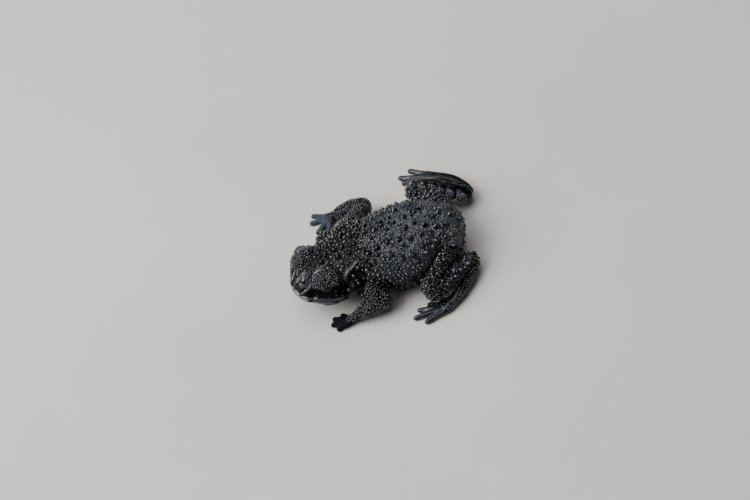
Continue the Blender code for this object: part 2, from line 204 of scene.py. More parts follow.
print("head:", jaw_width, "mm wide, turned by", round(math.degrees(HEAD_YAW)), "degrees")

# %% [markdown]
# ## The limbs
#
# Each limb was read off the photograph on its own, so left and right differ. An arm is an upper arm, a
# forearm and a hand with four fingers. A leg is a thigh, a shank and a long foot with five toes. A finger or
# toe is a root and a tip on the ground, and the same short blunt form runs from one to the other.

# %% Arm measures
FORE = {
    "left": {
        "upper_arm": ((-3.2, -3.6, 3.9, 1.75, 1.8), (-2.2, -5.2, 3.5, 1.5, 1.5), (-1.0, -6.6, 2.8, 1.3, 1.3)),
        "forearm": (
            (-0.9, -7.0, 2.4, 1.3, 1.25), (-2.6, -7.15, 2.0, 1.2, 1.15),
            (-4.4, -7.3, 1.35, 0.85, 0.85), (-5.7, -7.5, 0.95, 0.55, 0.55),
        ),
        "hand": ((-5.7, -7.5, 0.9, 0.55, 0.5), (-6.4, -7.5, 0.65, 0.8, 0.45), (-7.0, -7.5, 0.5, 0.85, 0.4)),
        "digits": (
            ((-6.1, -7.1), (-6.8, -6.2)), ((-6.6, -7.1), (-8.0, -6.4)),
            ((-6.8, -7.4), (-8.4, -7.2)), ((-6.6, -7.7), (-7.8, -8.1)),
        ),
    },
    "right": {
        "upper_arm": ((-3.4, 3.4, 4.2, 1.75, 1.8), (-1.8, 5.6, 3.7, 1.5, 1.5), (-0.2, 7.6, 3.0, 1.3, 1.3)),
        "forearm": (
            (0.1, 8.6, 2.5, 1.35, 1.3), (-1.4, 9.2, 2.1, 1.3, 1.2),
            (-3.0, 9.5, 1.6, 1.0, 0.95), (-4.0, 9.7, 1.1, 0.6, 0.6),
        ),
        "hand": ((-4.1, 9.8, 1.0, 0.6, 0.55), (-4.9, 9.8, 0.75, 0.85, 0.48), (-5.5, 9.8, 0.55, 0.95, 0.42)),
        "digits": (
            ((-4.7, 9.4), (-5.4, 7.9)), ((-5.3, 9.4), (-6.9, 8.2)),
            ((-5.5, 9.8), (-7.4, 10.0)), ((-5.2, 10.2), (-6.9, 11.1)),
        ),
    },
}


def lengths(limb):
    """How long the parts of a limb are, along their middle lines."""
    return {
        part: round(sum(math.dist(a[:3], b[:3]) for a, b in zip(rows, rows[1:])), 1)
        for part, rows in limb.items() if part != "digits"
    }


print("arms in mm:", {side: lengths(limb) for side, limb in FORE.items()})

# %% Leg measures
HIND = {
    "left": {
        "thigh": (
            (9.8, -2.6, 4.3, 1.9, 1.9), (8.1, -4.5, 4.3, 1.55, 1.65),
            (6.7, -6.2, 3.75, 1.4, 1.45), (5.6, -7.7, 3.3, 1.3, 1.3),
        ),
        "shank": (
            (6.0, -8.4, 2.7, 1.25, 1.35), (8.4, -6.8, 2.5, 1.35, 1.45),
            (10.4, -5.5, 2.2, 1.15, 1.25), (12.2, -4.5, 1.9, 0.95, 1.0),
        ),
        "foot": (
            (12.5, -4.9, 1.5, 0.8, 0.85), (11.3, -6.6, 1.1, 0.75, 0.75), (9.8, -8.1, 0.95, 0.75, 0.7),
            (8.2, -9.2, 0.85, 0.8, 0.65), (6.7, -9.8, 0.6, 1.1, 0.5),
        ),
        "digits": (
            ((7.4, -9.2), (6.4, -8.1)), ((6.9, -9.4), (4.9, -8.6)), ((6.4, -9.7), (3.4, -9.0)),
            ((6.2, -10.0), (2.6, -10.0)), ((6.6, -10.4), (3.9, -11.1)),
        ),
    },
    "right": {
        "thigh": (
            (11.0, 0.6, 4.0, 1.9, 2.0), (10.4, 3.6, 4.0, 1.5, 1.6),
            (9.0, 5.9, 3.7, 1.35, 1.45), (7.6, 7.9, 3.3, 1.3, 1.3),
        ),
        "shank": (
            (7.7, 8.8, 2.8, 1.25, 1.35), (9.8, 8.2, 2.7, 1.35, 1.45),
            (12.2, 7.1, 2.4, 1.2, 1.3), (14.3, 6.2, 1.95, 1.0, 1.05),
        ),
        "foot": (
            (14.8, 6.7, 1.5, 0.8, 0.85), (14.2, 8.4, 1.1, 0.75, 0.75), (13.0, 9.9, 0.95, 0.75, 0.7),
            (11.4, 10.9, 0.85, 0.8, 0.65), (9.9, 11.7, 0.6, 1.1, 0.5),
        ),
        "digits": (
            ((10.5, 11.0), (9.4, 10.0)), ((9.9, 11.3), (7.9, 10.9)), ((9.5, 11.6), (6.6, 12.0)),
            ((9.4, 11.9), (6.4, 13.0)), ((9.9, 12.3), (8.0, 13.7)),
        ),
    },
}
# Height of the middle line, half width and half height of a finger or toe: root, middle and tip
DIGIT = ((0.55, 0.4, 0.4), (0.495, 0.368, 0.36), (0.32, 0.4, 0.36))
print("legs in mm:", {side: lengths(limb) for side, limb in HIND.items()})

# %% [markdown]
# ## Simple forms
#
# A sleeve is a row of rings joined by bridge_loops, with a round cap at each end. It could be a curve with a
# bevel, but rings let the section be wider than high, and square it a little for the barrel of the trunk.
# A ball is an icosphere stretched by its matrix.

# %% Sleeves
CAP_ANGLES = (25, 50, 75)


def smooth_rows(rows, steps):
    """Rows of numbers on a Catmull-Rom curve through the given rows."""
    ends = [rows[0], *rows, rows[-1]]
    found = []
    for a, b, c, d in zip(ends, ends[1:], ends[2:], ends[3:]):
        for i in range(steps):
            t = i / steps
            found.append([
                q + 0.5 * ((r - p) * t + (2 * p - 5 * q + 4 * r - s) * t**2 + (3 * q - p - 3 * r + s) * t**3)
                for p, q, r, s in zip(a, b, c, d)
            ])
    return [*found, list(rows[-1])]


def domed(rows, along, dome):
    """The rows with a round end added at each end."""
    found = []
    for row, sign in ((rows[0], -1), (rows[-1], 1)):
        reach = dome * 0.5 * (row[3] + row[4])
        way = along(0 if sign < 0 else -1) * sign
        cap = []
        for angle in CAP_ANGLES:
            lean = math.radians(angle)
            centre = Vector(row[:3]) + way * reach * math.sin(lean)
            cap.append([*centre, row[3] * math.cos(lean), row[4] * math.cos(lean)])
        found.append(cap)
    return [*reversed(found[0]), *rows, *found[1]]


def squared(verts, power):
    """Turns a unit ring into one with fuller corners."""
    for vert in verts:
        for i in (0, 1):
            vert.co[i] = math.copysign(abs(vert.co[i]) ** (2 / power), vert.co[i])


def sleeve(stations, sides=24, steps=6, dome=1.0, square=2.0):
    """A closed oval tube with round ends, through stations of (x, y, z, half width, half height)."""
    rows = smooth_rows(stations, steps)

    def along(end):
        a, b = (rows[0], rows[1]) if end == 0 else (rows[-2], rows[-1])
        return (Vector(b[:3]) - Vector(a[:3])).normalized()

    rows = domed(rows, along, dome)
    bm = bmesh.new()
    loops = []
    for i, row in enumerate(rows):
        before, after = rows[max(i - 1, 0)], rows[min(i + 1, len(rows) - 1)]
        forward = (Vector(after[:3]) - Vector(before[:3])).normalized()
        side = forward.cross(UP).normalized()
        turn = Matrix((side * row[3], side.cross(forward) * row[4], forward)).transposed().to_4x4()
        turn.translation = Vector(row[:3])
        is_end = i in (0, len(rows) - 1)
        ring = bmesh.ops.create_circle(bm, cap_ends=is_end, segments=sides, radius=1)["verts"]
        squared(ring, square)
        bmesh.ops.transform(bm, matrix=turn, verts=ring)
        loops.append(list({edge for vert in ring for edge in vert.link_edges}))
    for a, b in zip(loops, loops[1:]):
        bmesh.ops.bridge_loops(bm, edges=a + b)
    bmesh.ops.recalc_face_normals(bm, faces=bm.faces)
    return bm


trunk_form = sleeve(TRUNK, sides=48, dome=TRUNK_DOME, square=TRUNK_SQUARE)
print("the barrel of the trunk has", len(trunk_form.faces), "faces")


# %% Balls and objects
def ball(centre, radii, fineness=4):
    """An ellipsoid."""
    place = Matrix.Translation(centre) @ Matrix.Diagonal((*radii, 1))
    bm = bmesh.new()
    bmesh.ops.create_icosphere(bm, subdivisions=fineness, radius=1, matrix=place)
    return bm


def moved(bm, place):
    """The shape put in its place."""
    bmesh.ops.transform(bm, matrix=place, verts=bm.verts)
    return bm


def mesh_object(name, pieces):
    """One object from several closed shapes, which stay separate bodies inside it."""
    mesh = bpy.data.meshes.new(name)
    whole = bmesh.new()
    for piece in pieces:
        part = bpy.data.meshes.new("part")
        piece.to_mesh(part)
        piece.free()
        whole.from_mesh(part)
        bpy.data.meshes.remove(part)
    whole.to_mesh(mesh)
    whole.free()
    return in_scene(name, mesh)


def apply_modifiers(obj):
    """Puts the modifiers' result into the object's own mesh."""
    bpy.context.view_layer.update()
    graph = bpy.context.evaluated_depsgraph_get()
    made = bpy.data.meshes.new_from_object(obj.evaluated_get(graph))
    obj.modifiers.clear()
    old, obj.data = obj.data, made
    bpy.data.meshes.remove(old)


def triangles(obj):
    """How many triangles the mesh has."""
    return sum(len(face.vertices) - 2 for face in obj.data.polygons)


body_forms = [trunk_form, *[ball(row[:3], row[3:]) for row in (*SHOULDERS, *HIPS)]]
print("forms of the body:", len(body_forms))

# %% [markdown]
# ## The head's own frame
#
# The head is turned to the toad's left, so its parts are given in its own frame: f to the snout, l to the
# left and u up. A side of 1 or -1 mirrors a part to the other half of the head.

# %% Head frame
def head_frame():
    """Head frame to toad frame."""
    forward = Vector((-math.cos(HEAD_YAW), -math.sin(HEAD_YAW), 0))
    left = Vector((math.sin(HEAD_YAW), -math.cos(HEAD_YAW), 0))
    base = Matrix((forward, left, UP)).transposed().to_4x4()
    return Matrix.Translation(HEAD_AT) @ base @ Matrix.Rotation(-HEAD_PITCH, 4, "Y")


def mirrored(point, side):
    """The point itself for the head's left side (1), or its mirror image for the right side (-1)."""
    return Vector((point[0], side * point[1], point[2]))


HEAD = head_frame()
INTO_HEAD = HEAD.inverted()


def head_shapes():
    """Skull, jaws, lids, nostrils and canthal ridges."""
    shapes = [
        sleeve([(f, 0, u, width, height) for f, width, height, u in rows], sides=40, dome=SNOUT_DOME)
        for rows in (CRANIUM, JAWS)
    ]
    for side in (1, -1):
        shapes += [ball(mirrored(middle, side), radii) for middle, radii in LIDS]
        rim = [(*mirrored(point, side), LID_RIM_RADIUS, LID_RIM_RADIUS) for point in LID_RIM]
        shapes.append(sleeve(rim, sides=16))
        shapes.append(ball(mirrored(NOSTRIL, side), (NOSTRIL_RADIUS,) * 3))
        canthus = [mirrored(point, side) for point in (CANTHUS_FROM, NOSTRIL)]
        shapes.append(sleeve([(*point, CANTHUS_RADIUS, CANTHUS_RADIUS) for point in canthus], sides=16))
    return [moved(shape, HEAD) for shape in shapes]


head_forms = head_shapes()
print("forms of the head:", len(head_forms), "with a nostril at", [round(v, 1) for v in HEAD @ NOSTRIL])

# %% [markdown]
# ## One skin
#
# The real skin has no seams, so all the forms are fused into one surface. Booleans could join them, but they
# leave a hard crease at every joint. A voxel remesh makes a new, even mesh around everything that overlaps,
# and a few rounds of smoothing fill the creases as flesh does.

# %% Fuse the forms
VOXEL = 0.132
SMOOTH_FACTOR = 0.5
SMOOTH_ROUNDS = 5


def digit(root, tip):
    """One finger or toe, from inside the palm or sole to its blunt tip."""
    middle = [(a + b) / 2 for a, b in zip(root, tip)]
    return sleeve([(*place, *size) for place, size in zip((root, middle, tip), DIGIT)], sides=16)


def limb_shapes(sizes):
    """The forms of one limb, with its fingers or toes."""
    sleeves = [sleeve(rows) for part, rows in sizes.items() if part != "digits"]
    return sleeves + [digit(root, tip) for root, tip in sizes["digits"]]


limb_forms = [form for sizes in (*FORE.values(), *HIND.values()) for form in limb_shapes(sizes)]
skin = mesh_object("skin", body_forms + head_forms + limb_forms)
fuse = skin.modifiers.new("fuse", "REMESH")
fuse.mode = "VOXEL"
fuse.voxel_size = VOXEL
soften = skin.modifiers.new("soften", "SMOOTH")
soften.factor = SMOOTH_FACTOR
soften.iterations = SMOOTH_ROUNDS
apply_modifiers(skin)
print("skin:", triangles(skin), "triangles, with", len(limb_forms), "forms in the limbs")

# %% [markdown]
# ## Eye openings, nostrils and mouth
#
# Each eyeball sits in a socket that opens under the overhang of the lid. The nostrils are small pits at the
# front end of the canthal ridges. The mouth is one line around the whole snout. All of them are cut out of
# the skin, because a cut keeps its sharp rim where a pressed dent would go soft.

# %% Cut the openings
SOCKET_ROOM = 0.04
OUTSIDE = 20


def cut(obj, bm):
    """Takes a shape out of the object."""
    cutter = mesh_object("cutter", [bm])
    step = obj.modifiers.new("cut", "BOOLEAN")
    step.operation = "DIFFERENCE"
    step.object = cutter
    step.solver = "MANIFOLD"
    apply_modifiers(obj)
    bpy.data.objects.remove(cutter)


def mouth_line(obj):
    """Points on the edge of the jaws, all the way round the snout."""
    points = []
    for i in range(MOUTH_POINTS + 1):
        angle = MOUTH_TURN * (2 * i / MOUTH_POINTS - 1)
        way = Vector((math.cos(angle), math.sin(angle), 0))
        drop = MOUTH_DROP * (abs(angle) / MOUTH_TURN) ** 4
        outside = HEAD @ (Vector((MOUTH_MIDDLE, 0, MOUTH_U - drop)) + way * OUTSIDE)
        hit, point, _, _ = obj.ray_cast(outside, (HEAD.to_3x3() @ -way).normalized())
        if hit:
            points.append(point)
    return points


mouth = mouth_line(skin)
cut(skin, sleeve([(*point, MOUTH_GROOVE, MOUTH_GROOVE) for point in mouth], sides=8, steps=1))
for side in (1, -1):
    socket = ball(mirrored(EYE, side), (EYE_RADIUS + SOCKET_ROOM,) * 3)
    opening = ball(mirrored(APERTURE, side), APERTURE_RADII)
    pit = ball(mirrored(NOSTRIL + PIT_SHIFT, side), (NOSTRIL_PIT, NOSTRIL_PIT * PIT_FLATNESS, NOSTRIL_PIT))
    for shape in (socket, opening, pit):
        cut(skin, moved(shape, HEAD))
print("skin with its openings:", triangles(skin), "triangles,", len(mouth), "points on the mouth")

# %% [markdown]
# ## Regions of the skin
#
# Each region of the toad has its own skin: the hands are bare and smooth, the lids and forearms are covered
# in tiny even granules, the back has large warts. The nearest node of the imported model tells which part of
# the toad a point belongs to, and the head's frame tells where on the head it is.

# %% Read the surface
PARTS = sorted({name.removesuffix("_left").removesuffix("_right") for name in frame["nodes"]})


def node_tree():
    """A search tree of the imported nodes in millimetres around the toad, and the part of each triangle."""
    points, faces, owners = [], [], []
    for name, solid in sorted(frame["nodes"].items()):
        if name.startswith("eye"):
            continue
        first = len(points)
        points += [vert.co / MM + CENTRE for vert in solid.data.vertices]
        faces += [[first + i for i in face.vertices] for face in solid.data.polygons]
        part = PARTS.index(name.removesuffix("_left").removesuffix("_right"))
        owners += [part] * len(solid.data.polygons)
    return BVHTree.FromPolygons(points, faces), owners


def read(collection, field, width=3):
    """A field of all the vertices or faces as an array."""
    values = np.empty(len(collection) * width)
    collection.foreach_get(field, values)
    return values.reshape(-1, width) if width > 1 else values


nodes_tree, node_parts = node_tree()
points = read(skin.data.vertices, "co")
normals = read(skin.data.vertex_normals, "vector")
part_of = np.array([node_parts[nodes_tree.find_nearest(Vector(p))[2]] for p in points])


def is_part(*names):
    """A mask of the skin's points that belong to the named parts."""
    return np.isin(part_of, [PARTS.index(name) for name in names])


def in_head(places):
    """The places in the head's frame."""
    turn = np.array(INTO_HEAD)
    return places @ turn[:3, :3].T + turn[:3, 3]


def ramp(values, low, high):
    """0 under low, 1 over high, and smooth between them."""
    t = np.clip((values - low) / (high - low), 0, 1)
    return t * t * (3 - 2 * t)


print("points of the skin on each part:", {name: int(is_part(name).sum()) for name in PARTS})

# %% [markdown]
# ## From the photograph to the skin
#
# Some warts, ridges and pale patches can be told apart in the photograph. They could be placed by eye, turn
# after turn. Here each is written down in pixels, and a ray from the camera finds where it lies, so that it
# sits on the form that carries it. The way back, from a place on the toad to its pixel, tells which piece of
# skin lies in a patch of the photograph.

# %% Pixels and skin
def photo_ray(spot):
    """Where the camera's ray through a pixel starts, and which way it goes."""
    x = (spot[0] - PHOTO_SIZE[0] / 2) / PHOTO_SIZE[0] * SENSOR / LENS
    y = (PHOTO_SIZE[1] / 2 - spot[1]) / PHOTO_SIZE[0] * SENSOR / LENS
    return camera_spot, (camera_turn.to_3x3() @ Vector((x, y, -1))).normalized()


def on_skin(tree, spot):
    """The point and normal of the skin seen at a pixel, or None."""
    point, normal, face, _ = tree.ray_cast(*photo_ray(spot))
    return (point, normal) if face is not None else None


def photo_spots(places):
    """The pixels at which places of the toad are seen."""
    turn = np.array(camera_turn.to_3x3())
    local = (places - np.array(camera_spot)) @ turn
    scale = LENS / SENSOR * PHOTO_SIZE[0] / -local[:, 2:3]
    return local[:, :2] * scale * (1, -1) + np.array(PHOTO_SIZE) / 2


def patch_distance(spots, middle, size):
    """How far pixels are from the middle of a patch, in half sizes of the patch."""
    return np.linalg.norm((spots - np.array(middle)) / np.array(size), axis=1)


def skin_tree():
    """A search tree of the skin as it is now."""
    return BVHTree.FromPolygons([Vector(p) for p in points], [face.vertices for face in skin.data.polygons])


print("mouth seen at", [[round(float(v)) for v in spot] for spot in photo_spots(np.array(mouth))[::5]])

# %% [markdown]
# ## Work the skin
#
# A sculptor pulls ridges up and presses folds in along lines. Here each ridge or fold is a line of points,
# and every point of the skin near it moves along its normal by a bell-shaped amount. A displacement texture
# could do that too, but the lines would have to be painted first.

# %% Press along lines
def line_distance(places, line):
    """How far each place is from a line of points."""
    nearest = np.full(len(places), np.inf)
    for a, b in zip(line, line[1:]):
        a, b = np.array(a), np.array(b)
        way = b - a
        t = np.clip((places - a) @ way / max(way @ way, 1e-9), 0, 1)
        nearest = np.minimum(nearest, np.linalg.norm(places - a - t[:, None] * way, axis=1))
    return nearest


def press(line, width, height):
    """Moves the skin near a line along its normals: up for a ridge, down for a fold."""
    bell = np.exp(-(line_distance(points, line) / width) ** 2)
    points[:] += normals * (height * bell)[:, None]


def fresh_normals():
    """Writes the worked points into the mesh and reads its new normals."""
    skin.data.vertices.foreach_set("co", points.ravel())
    skin.data.update()
    normals[:] = read(skin.data.vertex_normals, "vector")


print("the skin has", len(points), "points to work on")

# %% [markdown]
# ## Folds between the parts
#
# Where the thigh lies against the belly or the shank against the thigh, the fused skin has only a soft
# valley. The real one has a fold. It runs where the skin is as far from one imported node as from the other,
# and it fades at the knees and heels, where the skin runs on.

# %% Folds between the parts
# Parts that lie against each other: how deep the fold between them is, and how wide
CONTACTS = (
    ("torso", "thigh_left", 0.42, 0.34),
    ("torso", "thigh_right", 0.34, 0.34),
    ("thigh_left", "shank_left", 0.45, 0.32),
    ("thigh_right", "shank_right", 0.42, 0.32),
    ("shank_left", "foot_left", 0.4, 0.3),
    ("shank_right", "foot_right", 0.4, 0.3),
    ("thigh_left", "foot_left", 0.4, 0.3),
    ("torso", "upper_arm_left", 0.16, 0.4),
    ("torso", "upper_arm_right", 0.2, 0.4),
    ("torso", "forearm_right", 0.3, 0.3),
    ("upper_arm_left", "forearm_left", 0.12, 0.3),
    ("upper_arm_right", "forearm_right", 0.15, 0.3),
    ("head", "torso", 0.22, 0.45),
)
# Joints where the skin runs on without a fold, and how far that reaches
JOINTS = (((5.9, -8.1, 3.0), 1.5), ((7.7, 8.4, 3.1), 1.4), ((12.4, -4.7, 1.7), 1.0), ((14.6, 6.4, 1.7), 1.0))
JOINT_FADE = (0.6, 1.2)
REACH = 1.0
TOUCHING = 0.75


def distance_to(name):
    """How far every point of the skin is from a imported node, or REACH where it is further."""
    solid = frame["nodes"][name].data
    corners = [vert.co / MM + CENTRE for vert in solid.vertices]
    tree = BVHTree.FromPolygons(corners, [face.vertices for face in solid.polygons])
    low, high = np.min(corners, axis=0) - REACH, np.max(corners, axis=0) + REACH
    far = np.full(len(points), REACH)
    for i in np.flatnonzero(((points > low) & (points < high)).all(axis=1)):
        found = tree.find_nearest(Vector(points[i]), REACH)
        if found[0]:
            far[i] = found[3]
    return far


reach_to = {name: distance_to(name) for name in sorted({name for row in CONTACTS for name in row[:2]})}
joint_fade = np.ones(len(points))
for where, size in JOINTS:
    ends = [size * share for share in JOINT_FADE]
    joint_fade *= ramp(np.linalg.norm(points - np.array(where), axis=1), *ends)
fold = np.zeros(len(points))
for a, b, depth, width in CONTACTS:
    between = reach_to[a] - reach_to[b]
    touching = np.minimum(reach_to[a], reach_to[b]) < REACH * TOUCHING
    fade = 1 if "head" in (a, b) else joint_fade
    fold = np.maximum(fold, depth * touching * fade * np.exp(-(between / width) ** 2))
points -= normals * fold[:, None]
fresh_normals()
print("folds:", int((fold > 0.1).sum()), "points pressed in by more than 0.1 mm")

# %% [markdown]
# ## Ridges and lips
#
# Short ridges run over the head and the back, and they shine in the photograph. The skin swells a little
# under each of them here, and the cords and beads on top are pieces of their own, made further down. The lips
# start as two swells above and below the mouth.

# %% Ridges and lips
# What shines in the photograph: pixels along the line, width and height, and the radius of beads on it, in mm
CRESTS = (
    (((302, 294), (306, 291), (311, 286)), 0.26, 0.2, 0),
    (((315, 273), (320, 269.5), (324, 266), (329, 261.5)), 0.22, 0.2, 0.17),
    (((345, 278), (346, 275), (349, 270)), 0.2, 0.2, 0.14),
    (((351, 269), (354, 266), (357, 262)), 0.2, 0.16, 0.12),
    (((440, 208), (447, 210)), 0.25, 0.14, 0.13),
    (((452, 235), (456, 230), (462, 224)), 0.25, 0.16, 0.15),
    (((452, 242), (458, 235)), 0.25, 0.14, 0.14),
    (((295, 284), (298, 278), (304, 272)), 0.35, 0.1, 0),
)
LIP_OFFSET = 0.3
LIP_WIDTH = 0.17
UPPER_LIP = 0.15
LOWER_LIP = 0.11

seen = skin_tree()
crest_lines = []
for pixels, width, height, bead in CRESTS:
    line = [found[0] for found in (on_skin(seen, spot) for spot in pixels) if found]
    if len(line) > 1:
        press(line, width, height)
        crest_lines.append((line, bead))
upper_lip = [point + UP * LIP_OFFSET for point in mouth]
lower_lip = [point - UP * LIP_OFFSET for point in mouth]
press(upper_lip, LIP_WIDTH, UPPER_LIP)
press(lower_lip, LIP_WIDTH, LOWER_LIP)
fresh_normals()
print("worked", len(crest_lines), "crests and two lips")

# %% [markdown]
# ## Warts
#
# The back carries large blunt warts, each on a low mound with a shallow moat around it. The ones that can be
# told apart in the photograph are placed by their pixels. The rest of the toad gets its own from a seeded
# draw, kept apart from those already there. The mound is pressed out of the skin, and the wart itself is a
# separate small cone sunk in it, which stays crisp at this size.

# %% Warts of the photograph
# Pixel x and y, and radius in mm
SEEN_WARTS = (
    (432, 217, 0.36), (418, 209, 0.32), (411, 215, 0.26), (414, 212, 0.26), (403, 217, 0.3),
    (424, 225, 0.34), (436, 226, 0.36), (445, 224, 0.32), (430, 234, 0.34), (410, 239, 0.36),
    (421, 234, 0.3), (405, 227, 0.3), (446, 237, 0.36), (437, 241, 0.34), (422, 246, 0.34),
    (428, 242, 0.3), (427, 252, 0.36), (453, 245, 0.34), (402, 259, 0.34), (413, 255, 0.3),
    (418, 261, 0.3), (450, 214, 0.34), (460, 219, 0.36), (409, 204, 0.3), (438, 212, 0.3),
    (414, 223, 0.26), (394, 210, 0.32), (380, 214, 0.26), (388, 218, 0.28), (380, 222, 0.28),
    (388, 223, 0.26), (393, 223, 0.26), (371, 220, 0.28), (358, 222, 0.32), (381, 226, 0.28),
    (364, 226, 0.28), (374, 230, 0.3), (387, 230, 0.26), (365, 233, 0.26), (356, 225, 0.24),
    (352, 228, 0.24), (359, 230, 0.22), (357, 236, 0.26), (350, 237, 0.24), (343, 226, 0.24),
    (340, 228, 0.24), (340, 236, 0.3), (371, 238, 0.24), (391, 239, 0.28), (387, 242, 0.32),
    (399, 240, 0.26), (403, 245, 0.28), (377, 248, 0.28), (368, 254, 0.34), (354, 244, 0.24),
    (350, 246, 0.24), (342, 247, 0.28), (349, 253, 0.26), (364, 250, 0.24), (357, 249, 0.22),
    (391, 255, 0.28), (377, 255, 0.24), (365, 261, 0.24), (338, 257, 0.3), (334, 250, 0.3),
    (369, 266, 0.3), (374, 263, 0.28), (379, 276, 0.28), (376, 271, 0.24), (354, 276, 0.26),
    (357, 280, 0.24), (353, 285, 0.28), (349, 290, 0.26), (364, 278, 0.22), (359, 283, 0.2),
    (350, 296, 0.22), (347, 296, 0.2), (325, 255, 0.28), (321, 262, 0.32), (309, 265, 0.24),
    (338, 284, 0.24), (308, 278, 0.22), (311, 280, 0.22), (432.4, 269.4, 0.32), (427.2, 273.8, 0.32),
    (422.8, 280.6, 0.28), (427.6, 282.2, 0.28), (433, 277, 0.26),
)
# Mounds that carry a cluster of granules, in a row along the far shank and on the near thigh
CLUSTERS = (
    (423, 187.5, 0.46), (431, 188, 0.5), (440, 191, 0.52), (449.5, 194, 0.55), (461, 197, 0.62),
    (408, 187, 0.42), (438, 262, 0.4),
)
print(len(SEEN_WARTS), "warts and", len(CLUSTERS), "clusters read off the photograph")

# %% Room for every spot
SEED = 7
CELL = 0.8
SEEN_CROWDING = 0.6
rng = random.Random(SEED)
grid = {}


def cell_of(point):
    """The cell of a coarse grid that a point lies in."""
    return tuple(int(math.floor(v / CELL)) for v in point)


def has_room(point, radius, crowding):
    """True if no spot that is already there comes too close."""
    around = product(*[(v - 1, v, v + 1) for v in cell_of(point)])
    return not any(
        (point - other).length < (radius + size) * crowding
        for cell in around for other, size in grid.get(cell, ())
    )


def take(point, radius):
    """Marks a place as used."""
    grid.setdefault(cell_of(point), []).append((point, radius))


seen = skin_tree()
warts = []
for x, y, radius in SEEN_WARTS:
    found = on_skin(seen, (x, y))
    if found and has_room(found[0], radius, SEEN_CROWDING):
        take(found[0], radius)
        warts.append((*found, radius))
print(len(warts), "of the warts seen found room on the skin")

# %% Beads and clusters
CREST_STEP = 0.2
CREST_CLEAR = 0.14
BEAD_SPREAD = (0.7, 1.1)
beads = []
for line, bead in crest_lines:
    for a, b in zip(line, line[1:]):
        steps = max(1, round((b - a).length / CREST_STEP))
        for i in range(steps):
            place = a.lerp(b, i / steps)
            take(place, CREST_CLEAR)
            if bead:
                beads.append((place, UP, bead * rng.uniform(*BEAD_SPREAD)))
clusters = []
for x, y, radius in CLUSTERS:
    found = on_skin(seen, (x, y))
    if found:
        clusters.append((*found, radius))
print(len(beads), "beads on the crests,", len(clusters), "clusters")

# %% Faces of the skin
LID_REACH = 1.12
LID_FROM = 1.2


def read_faces():
    """Centres, normals, areas and parts of the skin's faces."""
    faces = skin.data.polygons
    first = read(faces, "loop_start", 1).astype(int)
    corner = np.empty(len(skin.data.loops), int)
    skin.data.loops.foreach_get("vertex_index", corner)
    return read(faces, "center"), read(faces, "normal"), read(faces, "area", 1), part_of[corner[first]]


face_points, face_normals, face_areas, face_parts = read_faces()
face_head = in_head(face_points)


def on_part(*names):
    """1 for the skin's faces that belong to the named parts, and 0 for the others."""
    return np.isin(face_parts, [PARTS.index(name) for name in names]).astype(float)


on_lid = np.zeros(len(face_points))
for side, (middle, radii) in product((1, -1), LIDS):
    reach = np.linalg.norm((face_head - np.array(mirrored(middle, side))) / np.array(radii), axis=1)
    on_lid = np.maximum(on_lid, (reach < LID_REACH) * (face_head[:, 2] > LID_FROM))
on_lid *= on_part("head")
print(len(face_points), "faces,", int(on_lid.sum()), "of them on the upper lids")

# %% [markdown]
# ## Warts that can't be read off
#
# The photograph shows one side of the back, and the warts of the legs and crown run together in it. Those are
# drawn at random: each draw has a mask that says where they may be, a range of sizes, and how far they keep
# from one another. A fixed seed draws the same toad every time. Poisson points from a geometry node could do
# it too, but they don't know the spots of the photograph.

# %% Draw the other warts
JITTER = 0.04


def scatter(mask, radius_range, crowding, tries):
    """Seeded spots on the faces where the mask allows them, apart from one another."""
    weights = mask * face_areas
    draw = np.random.default_rng(rng.randrange(10**6))
    picks = draw.choice(len(weights), size=tries, p=weights / weights.sum())
    spots = []
    for i in picks:
        radius = rng.uniform(*radius_range)
        jitter = Vector([rng.uniform(-JITTER, JITTER) for _ in range(3)])
        point = Vector(face_points[i]) + jitter
        if has_room(point, radius, crowding):
            take(point, radius)
            normal = Vector(face_normals[i])
            spots.append((point - jitter.project(normal), normal, radius))
    return spots


seen_count = len(warts)
facing_up = face_normals[:, 2]
back = on_part("torso") * (face_points[:, 2] > 2.2) * (facing_up > -0.15)
unseen = ramp(face_normals @ np.array(away), 0.35, 0.1)
not_rump = face_points[:, 0] < 9
far_shank = on_part("shank") * (face_points[:, 1] > 0)
warty_legs = on_part("thigh", "shank") * (facing_up > -0.35) * (1 - far_shank)
crown = on_part("head") * (facing_up > 0.45) * (1 - on_lid) * (face_head[:, 0] < 0.4)
for mask, radius_range, crowding, tries in (
    (back * unseen * not_rump, (0.22, 0.32), 1.75, 3000),
    (back * unseen, (0.14, 0.2), 2.2, 3000),
    (warty_legs, (0.18, 0.28), 1.6, 1500),
    (crown, (0.14, 0.2), 1.7, 400),
):
    warts += scatter(mask, radius_range, crowding, tries)
print(seen_count, "warts seen in the photograph,", len(warts), "in all")

# %% Press the mounds out of the skin
# All in radii of the wart: how high, how wide, and how far out the moat runs
MOUND = 0.34
MOUND_WIDTH = 1.15
MOAT = 0.13
MOAT_WIDTH = 0.5
MOAT_AT = 1.9
MOUND_ENDS = 2.8
WART_EDGE = (1.1, 1.6)
# A mound as large as this carries a cluster, and is steeper
CLUSTER_SIZE = 0.37
CLUSTER_STEEPNESS = 2

